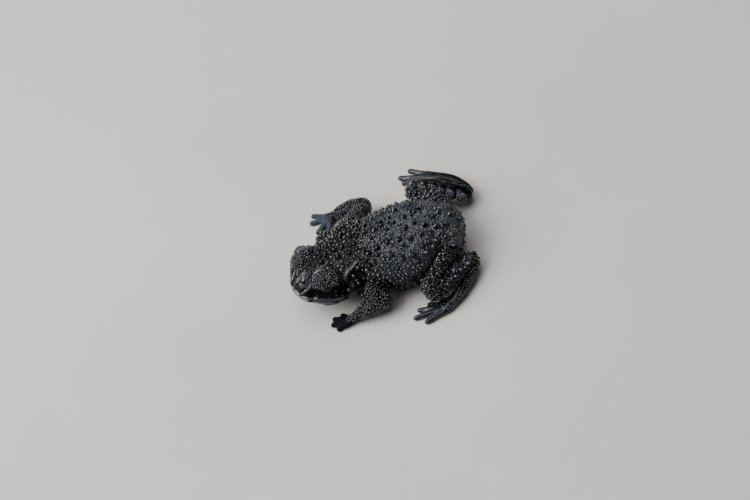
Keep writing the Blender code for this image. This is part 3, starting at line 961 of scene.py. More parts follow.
nearby = KDTree(len(points))
for i, point in enumerate(points):
    nearby.insert(point, i)
nearby.balance()
lift = np.zeros(len(points))
clear_of_warts = np.ones(len(points))
for spot, _, radius in warts + clusters:
    steepness = CLUSTER_STEEPNESS if radius > CLUSTER_SIZE else 1
    for _, i, gap in nearby.find_range(spot, radius * MOUND_ENDS):
        reach = gap / radius
        mound = MOUND * math.exp(-(reach / MOUND_WIDTH) ** 2)
        mound -= MOAT * math.exp(-((reach - MOAT_AT) / MOAT_WIDTH) ** 2)
        lift[i] += radius * mound * steepness
        clear = (reach - WART_EDGE[0]) / (WART_EDGE[1] - WART_EDGE[0])
        clear_of_warts[i] = min(clear_of_warts[i], max(0, min(1, clear)))
points[:] += normals * lift[:, None]
print("mounds up to", round(float(lift.max()), 2), "mm high, moats", round(float(-lift.min()), 2), "mm deep")

# %% [markdown]
# ## Lumps of the flesh
#
# Flesh isn't even under the skin: it swells and sinks by a few hundredths of a millimetre, and more on the
# snout. Noise moves the points for that, large and slow first, then smaller. Bump in the material would look
# the same from the front, but not at the outline.

# %% Low lumps of the flesh under the skin
# Size and depth in mm
LUMPS = ((0.9, 0.05), (0.42, 0.035))
SNOUT_LUMPS = ((0.5, 0.1), (0.26, 0.05))
FIRM_HANDS = 0.7
BOX_MARGIN = 1e-4


def noise_at(size):
    """Noise of one size at every point of the skin, as three columns."""
    return np.array([noise_vector(Vector(p) / size) for p in points])


firm = FIRM_HANDS * is_part("hand", "foot")
for size, depth in LUMPS:
    points[:] += normals * (noise_at(size)[:, 0] * depth * (1 - firm))[:, None]
place_in_head = in_head(points)
on_snout = is_part("head") * ramp(place_in_head[:, 0], 0.4, 1.2) * ramp(place_in_head[:, 2], -0.8, -0.2)
for size, depth in SNOUT_LUMPS:
    points[:] += normals * (noise_at(size)[:, 0] * on_snout * depth)[:, None]
low, high = [np.array(corner) / MM + np.array(CENTRE) for corner in cad_box]
points[:] = np.clip(points, low + BOX_MARGIN, high - BOX_MARGIN)
fresh_normals()
print("lumps added, the skin reaches from", points.min(axis=0).round(2), "to", points.max(axis=0).round(2))

# %% [markdown]
# ## Granules
#
# Between the warts the skin is paved with granules. They are smallest and closest on the lids and forearms,
# drawn out into short ridges on the rear of the back, and sparse on the flanks. Bump alone would vanish at
# the outline, so they are real small domes, each sunk into the skin. One dome is modelled, and an instancing
# modifier sets a copy on every spot and makes the copies real.

# %% The shapes that are repeated
# (radius, height) of the rings, for a form of radius 1: the foot flares into the skin
WART_PROFILE = ((1.5, -0.4), (1.12, 0.02), (0.88, 0.42), (0.66, 0.76), (0.36, 1.0))
GRANULE_PROFILE = ((1.35, -0.45), (1.1, 0.02), (0.84, 0.42), (0.46, 0.7))
FOLD_PROFILE = ((1.4, -0.4), (1.12, 0.02), (0.78, 0.36), (0.4, 0.52))
TIP_SHARE = (0.3, 1.0)


def store(obj, kind, values):
    """Keeps a number (FLOAT) or a vector (FLOAT_VECTOR) under each name for every point of the mesh."""
    for name, given in values.items():
        kept = obj.data.attributes.new(name, kind, "POINT").data
        kept.foreach_set("value" if kind == "FLOAT" else "vector", np.ravel(given).astype(np.float32))


def bump_shape(name, sides, profile, tip):
    """A small round form through rings of (radius, height), its foot under z = 0 and its tip on top."""
    bm = bmesh.new()
    foot = Matrix.Translation((0, 0, profile[0][1]))
    ring = bmesh.ops.create_circle(
        bm, cap_ends=True, segments=sides, radius=profile[0][0], matrix=foot)["verts"]
    edges = list({edge for vert in ring for edge in vert.link_edges})
    for (radius, height), (next_radius, next_height) in zip(profile, profile[1:]):
        grown = bmesh.ops.extrude_edge_only(bm, edges=edges)["geom"]
        verts = [item for item in grown if isinstance(item, bmesh.types.BMVert)]
        edges = [
            item for item in grown if isinstance(item, bmesh.types.BMEdge) and set(item.verts) <= set(verts)]
        share = next_radius / radius
        bmesh.ops.scale(bm, vec=(share, share, 1), verts=verts)
        bmesh.ops.translate(bm, vec=(0, 0, next_height - height), verts=verts)
    top = bmesh.ops.contextual_create(bm, geom=edges)["faces"]
    bmesh.ops.recalc_face_normals(bm, faces=bm.faces)
    bmesh.ops.poke(bm, faces=top, offset=tip)
    made = mesh_object(name, [bm])
    height_share = read(made.data.vertices, "co")[:, 2] / profile[-1][1]
    store(made, "FLOAT", {"tip": ramp(height_share, *TIP_SHARE)})
    return made


WART_SHAPE = bump_shape("wart_shape", sides=12, profile=WART_PROFILE, tip=0.08)
GRANULE_SHAPE = bump_shape("granule_shape", sides=8, profile=GRANULE_PROFILE, tip=0.08)
FOLD_SHAPE = bump_shape("fold_shape", sides=8, profile=FOLD_PROFILE, tip=0.05)
print("triangles:", {shape.name: triangles(shape) for shape in (WART_SHAPE, GRANULE_SHAPE, FOLD_SHAPE)})

# %% A copy on every point
def instancer():
    """A modifier group that sets a copy of a shape on every point, turned and sized by attributes."""
    tree = bpy.data.node_groups.new("set_on_skin", "GeometryNodeTree")
    for name, way, kind in (
        ("Spots", "INPUT", "NodeSocketGeometry"),
        ("Shape", "INPUT", "NodeSocketObject"),
        ("Result", "OUTPUT", "NodeSocketGeometry"),
    ):
        tree.interface.new_socket(name, in_out=way, socket_type=kind)
    spots = tree.nodes.new("NodeGroupInput")
    result = tree.nodes.new("NodeGroupOutput")
    shape = tree.nodes.new("GeometryNodeObjectInfo")
    copies = tree.nodes.new("GeometryNodeInstanceOnPoints")
    real = tree.nodes.new("GeometryNodeRealizeInstances")
    tree.links.new(spots.outputs["Spots"], copies.inputs["Points"])
    tree.links.new(spots.outputs["Shape"], shape.inputs["Object"])
    tree.links.new(shape.outputs["Geometry"], copies.inputs["Instance"])
    for name, socket in (("turn", "Rotation"), ("size", "Scale")):
        value = tree.nodes.new("GeometryNodeInputNamedAttribute")
        value.data_type = "FLOAT_VECTOR"
        value.inputs["Name"].default_value = name
        tree.links.new(value.outputs["Attribute"], copies.inputs[socket])
    tree.links.new(copies.outputs["Instances"], real.inputs["Geometry"])
    tree.links.new(real.outputs["Geometry"], result.inputs["Result"])
    return tree


SET_ON_SKIN = instancer()
print("the instancer has", len(SET_ON_SKIN.nodes), "nodes")

# %% [markdown]
# ## Painted sheen
#
# Where wet skin faces the light the photograph shows it pale and blue-grey: the mounds of the far shank, the
# knees, the feet, the lids. That sheen is painted into the colour as a pale grey. The patches could be
# painted on the mesh by hand. Here each is a middle and a half size in pixels, and every point that is seen
# inside and faces the camera gets the painted sheen, on the skin and on the bumps.

# %% Patches of painted sheen
# Middle and half size in pixels, and how strong the painted sheen is
PAINTED_SHEEN_PATCHES = (
    ((423, 187.5), (3, 4), 0.5), ((431.5, 188.5), (4, 4), 0.95), ((440, 191), (3.5, 4), 0.95),
    ((449.5, 194), (4, 4.5), 0.95), ((461, 197), (6, 6), 0.6), ((408, 187), (4.5, 7), 0.7),
    ((427, 199), (10, 4), 0.5), ((455, 267.5), (6.5, 5), 0.8), ((466, 259), (6, 5.5), 0.8),
    ((437, 257), (4, 4), 0.5), ((438, 282), (4.5, 5), 0.4), ((431, 278), (9, 19), 0.22),
    ((427, 312), (15, 6), 0.2), ((437, 312), (6, 8), 0.2), ((324, 277), (14, 10), 0.2),
    ((300, 257), (11, 13), 0.25), ((425, 173.5), (7, 2.5), 0.4), ((438.5, 175.5), (3, 3), 0.4),
)
FACING_CAMERA = (0.0, 0.3)
PATCH_EDGE = (1.2, 0.8)


def painted_sheen(places, ways):
    """How strong the painted sheen is at the places, from the patches of the photograph, where they face the
    camera.
    """
    spots = photo_spots(places)
    facing = ramp(ways @ np.array(away), *FACING_CAMERA)
    found = np.zeros(len(places))
    for middle, size, amount in PAINTED_SHEEN_PATCHES:
        found = np.maximum(found, amount * facing * ramp(patch_distance(spots, middle, size), *PATCH_EDGE))
    return found


print("skin in the pale patches:", int((painted_sheen(points, normals) > 0.1).sum()), "points")

# %% [markdown]
# ## Warts and granules on the skin
#
# Every spot drawn before is moved to the skin as it is now, with its mounds and lumps. The whole toad is kept
# inside the box of the packed model, so a bump near its walls gets smaller, or goes where it would be too
# small.
# The copies turn at random and differ a little in size, because no two real warts are alike.

# %% Settle and plant
TALLEST = 1.25
SMALLEST = 0.55
COPY_SPREAD = (0.75, 1.25)
WET_IN_SHEEN = 1.3
tree = skin_tree()


def settled(spots):
    """The spots moved onto the skin as it is now, and made smaller where they would leave the model's box."""
    kept = []
    for point, _, radius in spots:
        place, normal, _, _ = tree.find_nearest(point)
        reach = np.array(normal) * TALLEST
        room = np.where(reach > 0, high - np.array(place), np.array(place) - low)
        size = min(radius, (room / np.maximum(abs(reach), 1e-6)).min())
        if size > radius * SMALLEST:
            kept.append((place, normal, size))
    return kept


def planted(name, shape, spots, aspect=(1, 1, 1), flow=None):
    """One piece with a copy of the shape on every spot. Flow turns the long side of the copies."""
    places, ways = [np.array([spot[i] for spot in spots]) for i in (0, 1)]
    made = in_scene(name, bpy.data.meshes.new(name))
    made.data.from_pydata(places, [], [])
    turns, sizes = [], []
    for point, normal, radius in spots:
        along = flow(point) if flow else Vector([rng.uniform(-1, 1) for _ in range(3)])
        side = normal.cross(along).normalized()
        turns += Matrix((side.cross(normal), side, normal)).transposed().to_euler()
        sizes += [radius * share * rng.uniform(*COPY_SPREAD) for share in aspect]
    store(made, "FLOAT_VECTOR", {"turn": turns, "size": sizes})
    # Inside the patches the bumps get a painted sheen in their colour, and a wet coat with it
    sheen_share = painted_sheen(places, ways)
    store(made, "FLOAT", {"bloom_and_sheen": sheen_share, "wet": np.minimum(1, sheen_share * WET_IN_SHEEN)})
    step = made.modifiers.new("set_on_skin", "NODES")
    step.node_group = SET_ON_SKIN
    step[SET_ON_SKIN.interface.items_tree["Shape"].identifier] = shape
    apply_modifiers(made)
    print(name + ":", len(spots), "copies,", triangles(made), "triangles")
    return made


wart_piece = planted("warts", WART_SHAPE, settled(warts))

# %% [markdown]
# ## Cords and lips
#
# The shining ridges carry thin cords of skin, and so do the edges of the near foot. The skin's own mesh is
# too coarse for them, so each is a sleeve through the pixels where the photograph shows it, partly sunk. One
# cord of the head is mirrored to its other half. The lips are two sleeves along the mouth, and noise makes
# them uneven, as wet lips are.

# %% Cords
# Pixels along the middle of a cord, and its radius in mm at each
CORDS = (
    ((302, 293.5, 0.1), (304.5, 291.5, 0.17), (307, 289.5, 0.17), (309.5, 287, 0.13), (311.5, 284.5, 0.08)),
    ((315, 273, 0.24), (318.5, 271, 0.2), (321, 269, 0.2), (324, 266.5, 0.18), (328.5, 261.5, 0.2)),
    ((344.5, 278, 0.18), (346, 275, 0.17), (349, 270, 0.12)),
    ((350.5, 269.5, 0.12), (353.5, 266.5, 0.14), (357, 262, 0.12)),
    ((439, 207.5, 0.16), (443, 208.8, 0.14), (448, 210.5, 0.12)),
    ((451.5, 235, 0.18), (456, 230, 0.16), (462, 223.5, 0.14)),
    ((452, 242, 0.17), (458, 235, 0.14)),
    ((475.5, 267, 0.1), (470, 272.5, 0.12), (465, 277.5, 0.14), (462, 281.5, 0.1)),
    ((459.5, 287, 0.14), (457, 293, 0.12), (454.5, 298, 0.16), (447, 304, 0.14)),
)
# How many of them, from the first, the other half of the head has too
HEAD_CORDS = 1
CORD_SUNK = 0.25
CREST_PAINTED_GLINT = 0.8
CORD_ROOM = 1.1
BOX_ROOM = 0.02


def in_box(place, radius):
    """The place, moved so that a ball around it stays well inside the model's box."""
    room = radius * CORD_ROOM + BOX_ROOM
    return Vector(np.clip(place, low + room, high - room))


def cord_places(stations):
    """Where the cord lies on the skin, from stations of (pixel x, pixel y, radius)."""
    found = [(on_skin(tree, (x, y)), radius) for x, y, radius in stations]
    return [(spot[0], radius) for spot, radius in found if spot]


def other_half(places):
    """The same places on the other half of the head."""
    return [(HEAD @ mirrored(INTO_HEAD @ place, -1), radius) for place, radius in places]


def cord(places):
    """A low smooth cord along the places, partly sunk in the skin."""
    rows = []
    for place, radius in places:
        spot, normal, _, _ = tree.find_nearest(place)
        rows.append((*in_box(spot - normal * radius * CORD_SUNK, radius), radius, radius))
    return sleeve(rows, sides=12, steps=4)


cord_lines = [cord_places(stations) for stations in CORDS]
cord_lines += [other_half(places) for places in cord_lines[:HEAD_CORDS]]
crest_piece = mesh_object("crests", [cord(places) for places in cord_lines if len(places) > 1])
# The cords are wet, and painted pale along their length as a painted highlight
every = np.ones(len(crest_piece.data.vertices))
store(crest_piece, "FLOAT", {"wet": every, "bloom_and_sheen": every * CREST_PAINTED_GLINT})
print("crests:", len(cord_lines), "cords,", triangles(crest_piece), "triangles")

# %% Lips
LIP_STEP = 0.26
LIP_RADIUS = 0.18
LIP_SUNK = 0.68
LIP_TAPER = 5
LIP_LUMP = 0.5
LIP_UNEVEN = 0.5


def lip(rise):
    """The rounded edge of one lip, along the mouth and above or below it, thin at both ends."""
    rows = []
    for i, point in enumerate(mouth):
        place, normal, _, _ = tree.find_nearest(point + UP * rise)
        taper = min(1, (i + 1) / LIP_TAPER, (len(mouth) - i) / LIP_TAPER)
        radius = LIP_RADIUS * taper * (1 + LIP_UNEVEN * noise_vector(point / LIP_LUMP).x)
        rows.append((*in_box(place - normal * radius * LIP_SUNK, radius), radius, radius))
    return sleeve(rows, sides=12, steps=3)


lip_piece = mesh_object("lips", [lip(LIP_STEP), lip(-LIP_STEP)])
store(lip_piece, "FLOAT", {"wet": np.ones(len(lip_piece.data.vertices))})
print("lips:", triangles(lip_piece), "triangles")

# %% [markdown]
# ## Where the granules are
#
# The granules are drawn like the warts, and fill the room that these left. Masks keep their kinds apart: even
# ones on the lids and arms, larger ones on the fore back, the crown and the legs, short ridges on the rear
# back, and fine ones between. Two patches, on the neck and the crown, are smooth and black in the photograph,
# and stay nearly free. Clusters sit on the mounds of the far shank.

# %% Masks of the granules
# Patches that are smooth and black in the photograph: their middles and half sizes in pixels
QUIET = (((357, 283), (12, 17)), ((315.5, 251), (4, 7)))
QUIET_EDGE = (0.8, 1.1)
CLUSTER_EDGE = 1.25
# The skin has been worked since the warts were drawn, so its faces are read again
face_points, face_normals, face_areas, face_parts = read_faces()
face_head = in_head(face_points)
facing_up = face_normals[:, 2]
height_up = face_points[:, 2]
rear = ramp(face_points[:, 0], -1, 5)
upper = ramp(height_up, 2.6, 4.6) * ramp(facing_up, -0.1, 0.4)
torso = on_part("torso")
head_skin = on_part("head") * (1 - on_lid)
in_cluster = np.zeros(len(face_points))
for spot, _, radius in clusters:
    away_from = np.linalg.norm(face_points - np.array(spot), axis=1)
    in_cluster = np.maximum(in_cluster, ramp(away_from, radius * CLUSTER_EDGE, radius))
far_side = face_points[:, 1] > 0
lively = np.ones(len(face_points))
for middle, size in QUIET:
    lively *= ramp(patch_distance(photo_spots(face_points), middle, size), *QUIET_EDGE)
off_lips = ramp(line_distance(face_points, mouth), 0.35, 0.5)
crown_skin = head_skin * ramp(face_head[:, 2], 0.7, 1.1) * ramp(face_head[:, 0], 1.3, 0.3)
crown_skin *= off_lips * lively
leg_skin = on_part("thigh", "shank") * ramp(facing_up, -0.5, 0)
far_knee = ramp(face_points[:, 0], 9.4, 8.4)
bare_shank = far_side * on_part("shank") * (1 - far_knee)
near_foot = on_part("foot") * (1 - far_side) * ramp(height_up, 0.9, 1.4)
arm_skin = on_part("forearm", "upper_arm") * lively * ramp(height_up, 0.8, 1.5)
ridge_skin = torso * upper * ramp(facing_up, 0.2, 0.6) * ramp(face_points[:, 0], -2.5, 1.5)
fine_legs = on_part("thigh", "shank") * (1 - 0.9 * far_side)
areas = {"crown": crown_skin, "arms": arm_skin, "legs": leg_skin, "ridges": ridge_skin}
print("skin in mm2:", {name: round(float((mask * face_areas).sum())) for name, mask in areas.items()})

# %% Draw the granules
# The piece, where it may be, between which radii, how far apart, and how many tries
DRAWS = (
    ("granules", in_cluster, (0.15, 0.2), 0.92, 3000),
    ("granules", torso * upper * lively * (1 - 0.97 * rear), (0.15, 0.27), 1.22, 9000),
    ("granules", crown_skin, (0.15, 0.23), 1.5, 3000),
    ("granules", leg_skin * (1 - bare_shank), (0.14, 0.23), 1.12, 7000),
    ("granules", torso * (1 - upper) * lively * ramp(height_up, 1.2, 2.4), (0.19, 0.26), 1.9, 3000),
    ("granules", near_foot, (0.12, 0.17), 1.1, 2500),
    ("lid_granules", on_lid, (0.11, 0.165), 1.05, 9000),
    ("arm_granules", arm_skin * far_side, (0.11, 0.155), 1.1, 9000),
    ("arm_granules", arm_skin * (1 - far_side), (0.13, 0.18), 1.1, 9000),
    ("granules", (1 - lively) * on_part("torso", "upper_arm", "head"), (0.17, 0.22), 3.0, 300),
    ("back_ridges", ridge_skin, (0.09, 0.125), 1.0, 24000),
    ("fine_granules", torso * upper * lively * ramp(face_points[:, 0], 1, -3), (0.07, 0.1), 1.2, 1500),
    ("fine_granules", 0.5 * crown_skin + fine_legs, (0.07, 0.1), 1.2, 3500),
)
drawn = {}
for name, mask, radius_range, crowding, tries in DRAWS:
    drawn.setdefault(name, []).extend(scatter(mask, radius_range, crowding, tries))
drawn["granules"] += beads
print("drawn:", {name: len(spots) for name, spots in drawn.items()})

# %% Plant the granules
ACROSS = (0.55, -0.8)
SWIRL_SIZE = 1.5
SWIRL = 1.3
SWIRL_UP = 0.5
ROUND = (1, 1, 1)
DOMED = (1, 1, 1.1)
DRAWN_OUT = (2.6, 1.1, 0.85)


def back_flow(point):
    """The way the short ridges of the back run: across it, and bent by slow noise."""
    swirl = noise_vector(point / SWIRL_SIZE) * SWIRL
    return Vector((ACROSS[0] + swirl.x, ACROSS[1] + swirl.y, swirl.z * SWIRL_UP))


bumps = {
    name: planted(name, shape, settled(drawn[name]), aspect, flow)
    for name, shape, aspect, flow in (
        ("granules", GRANULE_SHAPE, ROUND, None),
        ("lid_granules", GRANULE_SHAPE, DOMED, None),
        ("arm_granules", GRANULE_SHAPE, ROUND, None),
        ("back_ridges", FOLD_SHAPE, DRAWN_OUT, back_flow),
        ("fine_granules", GRANULE_SHAPE, ROUND, None),
    )
}
pieces = [skin, wart_piece, crest_piece, lip_piece, *bumps.values()]
for shape in (WART_SHAPE, GRANULE_SHAPE, FOLD_SHAPE):
    bpy.data.objects.remove(shape)
print("pieces so far:", [piece.name for piece in pieces])

# %% [markdown]
# ## Eyes
#
# The eyes are black, with a dark brown iris that is hard to see around a horizontal oval pupil. They could be
# plain spheres. Each has a slight cornea instead, and keeps for every point how far it is from the middle of
# the pupil, sideways and upwards, so that the material can paint the pupil and iris where the eye looks.

# %% Eyeballs
EYE_LOOKS = Vector((0.25, 1, 0.1)).normalized()
CORNEA = 0.05
CORNEA_EDGE = 6


def eyeball(name, side):
    """One eyeball with a low cornea."""
    bm = bmesh.new()
    bmesh.ops.create_uvsphere(bm, u_segments=64, v_segments=40, radius=EYE_RADIUS)
    looks = mirrored(EYE_LOOKS, side)
    for vert in bm.verts:
        facing = max(0, vert.co.normalized().dot(looks))
        vert.co *= 1 + CORNEA * facing**CORNEA_EDGE
    made = mesh_object(name, [bm])
    across = looks.cross(UP).normalized()
    above = across.cross(looks)
    gaze = [[vert.co.dot(way) for way in (across, above, looks)] for vert in made.data.vertices]
    store(made, "FLOAT_VECTOR", {"gaze": gaze})
    made.data.transform(HEAD @ Matrix.Translation(mirrored(EYE, side)))
    return made


eyes = [eyeball("eyeball_left", 1), eyeball("eyeball_right", -1)]
print("eyes:", [triangles(eye) for eye in eyes])

# %% [markdown]
# ## Bare, wet and pale skin
#
# The hands, the feet, the lips and the side of the face under the canthal ridge are smooth. Wet skin gleams
# on the snout, the lips, the crests and the feet. The far hand and foot are painted paler than the near
# limbs, which is painted light and shade, and the up-facing rear back is pale grey, partly its own colour and
# partly painted sheen. None of this follows the mesh's parts, so one material can't be given to each. Three
# numbers on every point of the skin, from 0 to 1, tell the one material where it is bare, wet and pale.

# %% Bare and wet skin
# The wet gleam on the snout: its middle and half size in pixels
GLEAM = ((299, 279), (5.5, 10.5))
GLEAM_EDGE = (1.2, 0.7)
WET_PATCH = 0.32
WET_ALL_OVER = 0.15
WET_FEET = 0.8
WET_LINE = 0.3
place_in_head = in_head(points)
cheek = is_part("head") * (1 - ramp(place_in_head[:, 2], 0.3, 1.0)) * ramp(place_in_head[:, 0], -3.2, -2.4)
limb_ends = is_part("hand", "foot") * (1 - ramp(points[:, 2], 0.9, 1.5))
bare = np.clip(limb_ends + cheek, 0, 1)
gleam = ramp(patch_distance(photo_spots(points), *GLEAM), *GLEAM_EDGE)
snout = is_part("head") * (normals[:, 2] > 0) * gleam
patchy = ramp(noise_at(WET_PATCH)[:, 2], -0.2, 0.2)
wet_skin = WET_ALL_OVER * (1 - limb_ends) * (1 - cheek) + WET_FEET * is_part("foot") * limb_ends
wet = np.maximum(snout * patchy, wet_skin)
for line in (upper_lip, lower_lip, *[line for line, _ in crest_lines]):
    wet = np.maximum(wet, np.exp(-(line_distance(points, line) / WET_LINE) ** 2))
print("share of the skin that is bare", round(float(bare.mean()), 2), "and wet", round(float(wet.mean()), 2))

# %% Pale skin, painted light and painted sheen
PALE_BACK_AND_SHEEN = 0.38
PALE_RIDGES = (-2, 2)
# Painted light and shade: the far hand and foot are painted pale where they are lit, the near limbs dark
# where they are shaded
LIT_FAR_HAND = 1.0
LIT_FAR_FOOT = 0.2
SHADED_NEAR_LIMBS = 0.06
# The up-facing rear back is pale grey, partly its own colour and partly painted sheen
rear_back = is_part("torso") * ramp(points[:, 0], -1.5, 2.5) * ramp(normals[:, 2], 0.55, 0.85)
lit_far_limbs = np.where(points[:, 0] < 0, LIT_FAR_HAND, LIT_FAR_FOOT)
pale = limb_ends * np.where(points[:, 1] > 8, lit_far_limbs, SHADED_NEAR_LIMBS)
pale = np.maximum(pale, PALE_BACK_AND_SHEEN * rear_back * clear_of_warts)
pale = np.maximum(pale, painted_sheen(points, normals))
store(skin, "FLOAT", {"bare": bare, "wet": wet, "bloom_and_sheen": pale})
# The ridges of the rear back get the same grey, partly their own colour and partly painted sheen
ridges = bumps["back_ridges"].data
pale_ridges = PALE_BACK_AND_SHEEN * ramp(read(ridges.vertices, "co")[:, 0], *PALE_RIDGES)
ridges.attributes["bloom_and_sheen"].data.foreach_set("value", pale_ridges)
print("share of the skin that is pale", round(float(pale.mean()), 2))

# %% [markdown]
# ## The wet black skin
#
# The skin is black with a cold grey, partly its own colour and partly painted sheen, and it is wet. A picture
# could be wrapped round it, but noise and cells have no seams and work at any scale. Two effects are used by
# more than one material, so each is a group: one makes the fine grain of the skin as a height, which also
# darkens the colour in its creases as painted shade, and one mottles a colour. The groups put out only
# colours, masks and heights, and the Principled shader stays in the material. Lengths inside them are in
# millimetres.

# %% Nodes in short
def feed(tree, made, links):
    """Gives a node its inputs: a link from another node's output, or a plain value on the socket."""
    for socket, source in links.items():
        if hasattr(source, "is_output"):
            tree.links.new(source, made.inputs[socket])
        else:
            made.inputs[socket].default_value = source
    return made


def node(tree, kind, links, **settings):
    """A shader node with its settings and its inputs."""
    made = tree.nodes.new("ShaderNode" + kind)
    for name, value in settings.items():
        setattr(made, name, value)
    return feed(tree, made, links)


def mixed(tree, share, first, second):
    """The first colour where the share is 0, the second where it is 1."""
    return node(tree, "Mix", {0: share, 6: first, 7: second}, data_type="RGBA").outputs[2]


def blended(tree, share, first, second):
    """The first number where the share is 0, the second where it is 1."""
    return node(tree, "Mix", {0: share, 2: first, 3: second}).outputs[0]


def ranged(tree, value, start, end, low=0.0, high=1.0):
    """The value stretched, so that start becomes low and end becomes high."""
    limits = {"From Min": start, "From Max": end, "To Min": low, "To Max": high}
    return node(tree, "MapRange", {"Value": value, **limits}).outputs[0]


def group(name, inputs, outputs):
    """An empty shader group with named sockets."""
    tree = bpy.data.node_groups.new(name, "ShaderNodeTree")
    for label, kind, value in inputs:
        socket = tree.interface.new_socket(label, in_out="INPUT", socket_type="NodeSocket" + kind)
        if value is not None:
            socket.default_value = value
    for label, kind in outputs:
        tree.interface.new_socket(label, in_out="OUTPUT", socket_type="NodeSocket" + kind)
    return tree, tree.nodes.new("NodeGroupInput").outputs, tree.nodes.new("NodeGroupOutput")


print("helpers for nodes:", [helper.__name__ for helper in (feed, node, mixed, blended, ranged, group)])


# %% Grain group
def grain_group():
    """Fine cells and short wrinkles of wet skin, as one height from 0 to 1."""
    tree, given, result = group(
        "skin_grain",
        (
            ("Place", "Vector", None), ("Cell", "Float", 0.2), ("Wrinkle", "Float", 0.3),
            ("Bare", "Float", 0.0),
        ),
        (("Height", "Float"),),
    )
    per_mm = node(tree, "Math", {0: 1.0, 1: given["Cell"]}, operation="DIVIDE").outputs[0]
    warp = node(tree, "TexNoise", {"Vector": given["Place"], "Scale": 1.4, "Detail": 2.0}).outputs["Color"]
    shift = node(tree, "VectorMath", {0: warp, "Scale": 0.5}, operation="SCALE").outputs[0]
    bent = node(tree, "VectorMath", {0: given["Place"], 1: shift}).outputs[0]
    cells = node(tree, "TexVoronoi", {"Vector": bent, "Scale": per_mm}, feature="F1").outputs["Distance"]
    creases = node(
        tree, "TexNoise", {"Vector": bent, "Scale": 2.2, "Detail": 1.0, "Roughness": 0.4},
        noise_type="RIDGED_MULTIFRACTAL").outputs[0]
    rough = blended(tree, given["Wrinkle"], ranged(tree, cells, 0.75, 0.05), creases)
    soft = node(tree, "TexNoise", {"Vector": given["Place"], "Scale": 3.0, "Detail": 3.0}).outputs[0]
    feed(tree, result, {"Height": blended(tree, given["Bare"], rough, soft)})
    return tree


GRAIN = grain_group()
print("grain group:", len(GRAIN.nodes), "nodes")


# %% Mottling group
def mottle_group():
    """Two colours mixed in clouds of a given size."""
    tree, given, result = group(
        "mottle",
        (
            ("Place", "Vector", None), ("Size", "Float", 2.0), ("Dark", "Color", (0, 0, 0, 1)),
            ("Pale", "Color", (1, 1, 1, 1)), ("Share", "Float", 0.5),
        ),
        (("Color", "Color"), ("Mask", "Float")),
    )
    per_mm = node(tree, "Math", {0: 1.0, 1: given["Size"]}, operation="DIVIDE").outputs[0]
    cloud = {"Vector": given["Place"], "Scale": per_mm, "Detail": 4.0, "Roughness": 0.6}
    mask = ranged(tree, node(tree, "TexNoise", cloud).outputs[0], 0.35, 0.65)
    share = node(tree, "Math", {0: mask, 1: given["Share"]}, operation="MULTIPLY").outputs[0]
    feed(tree, result, {"Color": mixed(tree, share, given["Dark"], given["Pale"]), "Mask": share})
    return tree


MOTTLE = mottle_group()
print("mottling group:", len(MOTTLE.nodes), "nodes")

# %% [markdown]
# ## Four skins from one recipe
#
# The skin between the warts is nearly matt, the warts are smooth and black, and the granules and ridges have
# pale wet tips that catch the light; the pale of the tips is partly their own colour and partly a painted
# highlight. One recipe makes them all, from values of their own. The numbers stored on the points say where
# it is bare, wet and pale, the pale being painted sheen and painted light in part, and where the tips are. A
# clear coat stands for the water.

# %% Skin materials
SKIN_DARK = (0.002, 0.0022, 0.0026, 1)
SKIN_PALE = (0.006, 0.0066, 0.008, 1)
GRANULE_PALE = (0.006, 0.0064, 0.008, 1)
# The pale of the tips: partly their own paler colour, partly a painted highlight
TIP_PALE_AND_GLINT = (0.08, 0.086, 0.096, 1)
# The pale grey of the painted sheen, of the painted light on the far limbs and cords, and of the rear back's
# own grey
BLOOM_AND_SHEEN_GREY = (0.099, 0.109, 0.142, 1)
BARE_ROUGH = 0.65
WATER_ROUGH = 0.22
SKIN_IOR = 1.5
MOTTLE_SIZE = 1.3
MOTTLE_SHARE = 0.8


def grouped(tree, source, links):
    """A group placed in a material, with its inputs."""
    made = tree.nodes.new("ShaderNodeGroup")
    made.node_tree = source
    return feed(tree, made, links).outputs


def new_material(name):
    """A material with its tree and its shader."""
    made = bpy.data.materials.new(name)
    made.use_nodes = True
    return made, made.node_tree, made.node_tree.nodes["Principled BSDF"]


def place_in_mm(tree):
    """Object coordinates in millimetres."""
    place = tree.nodes.new("ShaderNodeTexCoord").outputs["Object"]
    return node(tree, "VectorMath", {0: place, "Scale": 1 / MM}, operation="SCALE").outputs[0]


def stored(tree, name, output="Fac"):
    """What the points of the piece keep under a name."""
    return node(tree, "Attribute", {}, attribute_name=name).outputs[output]


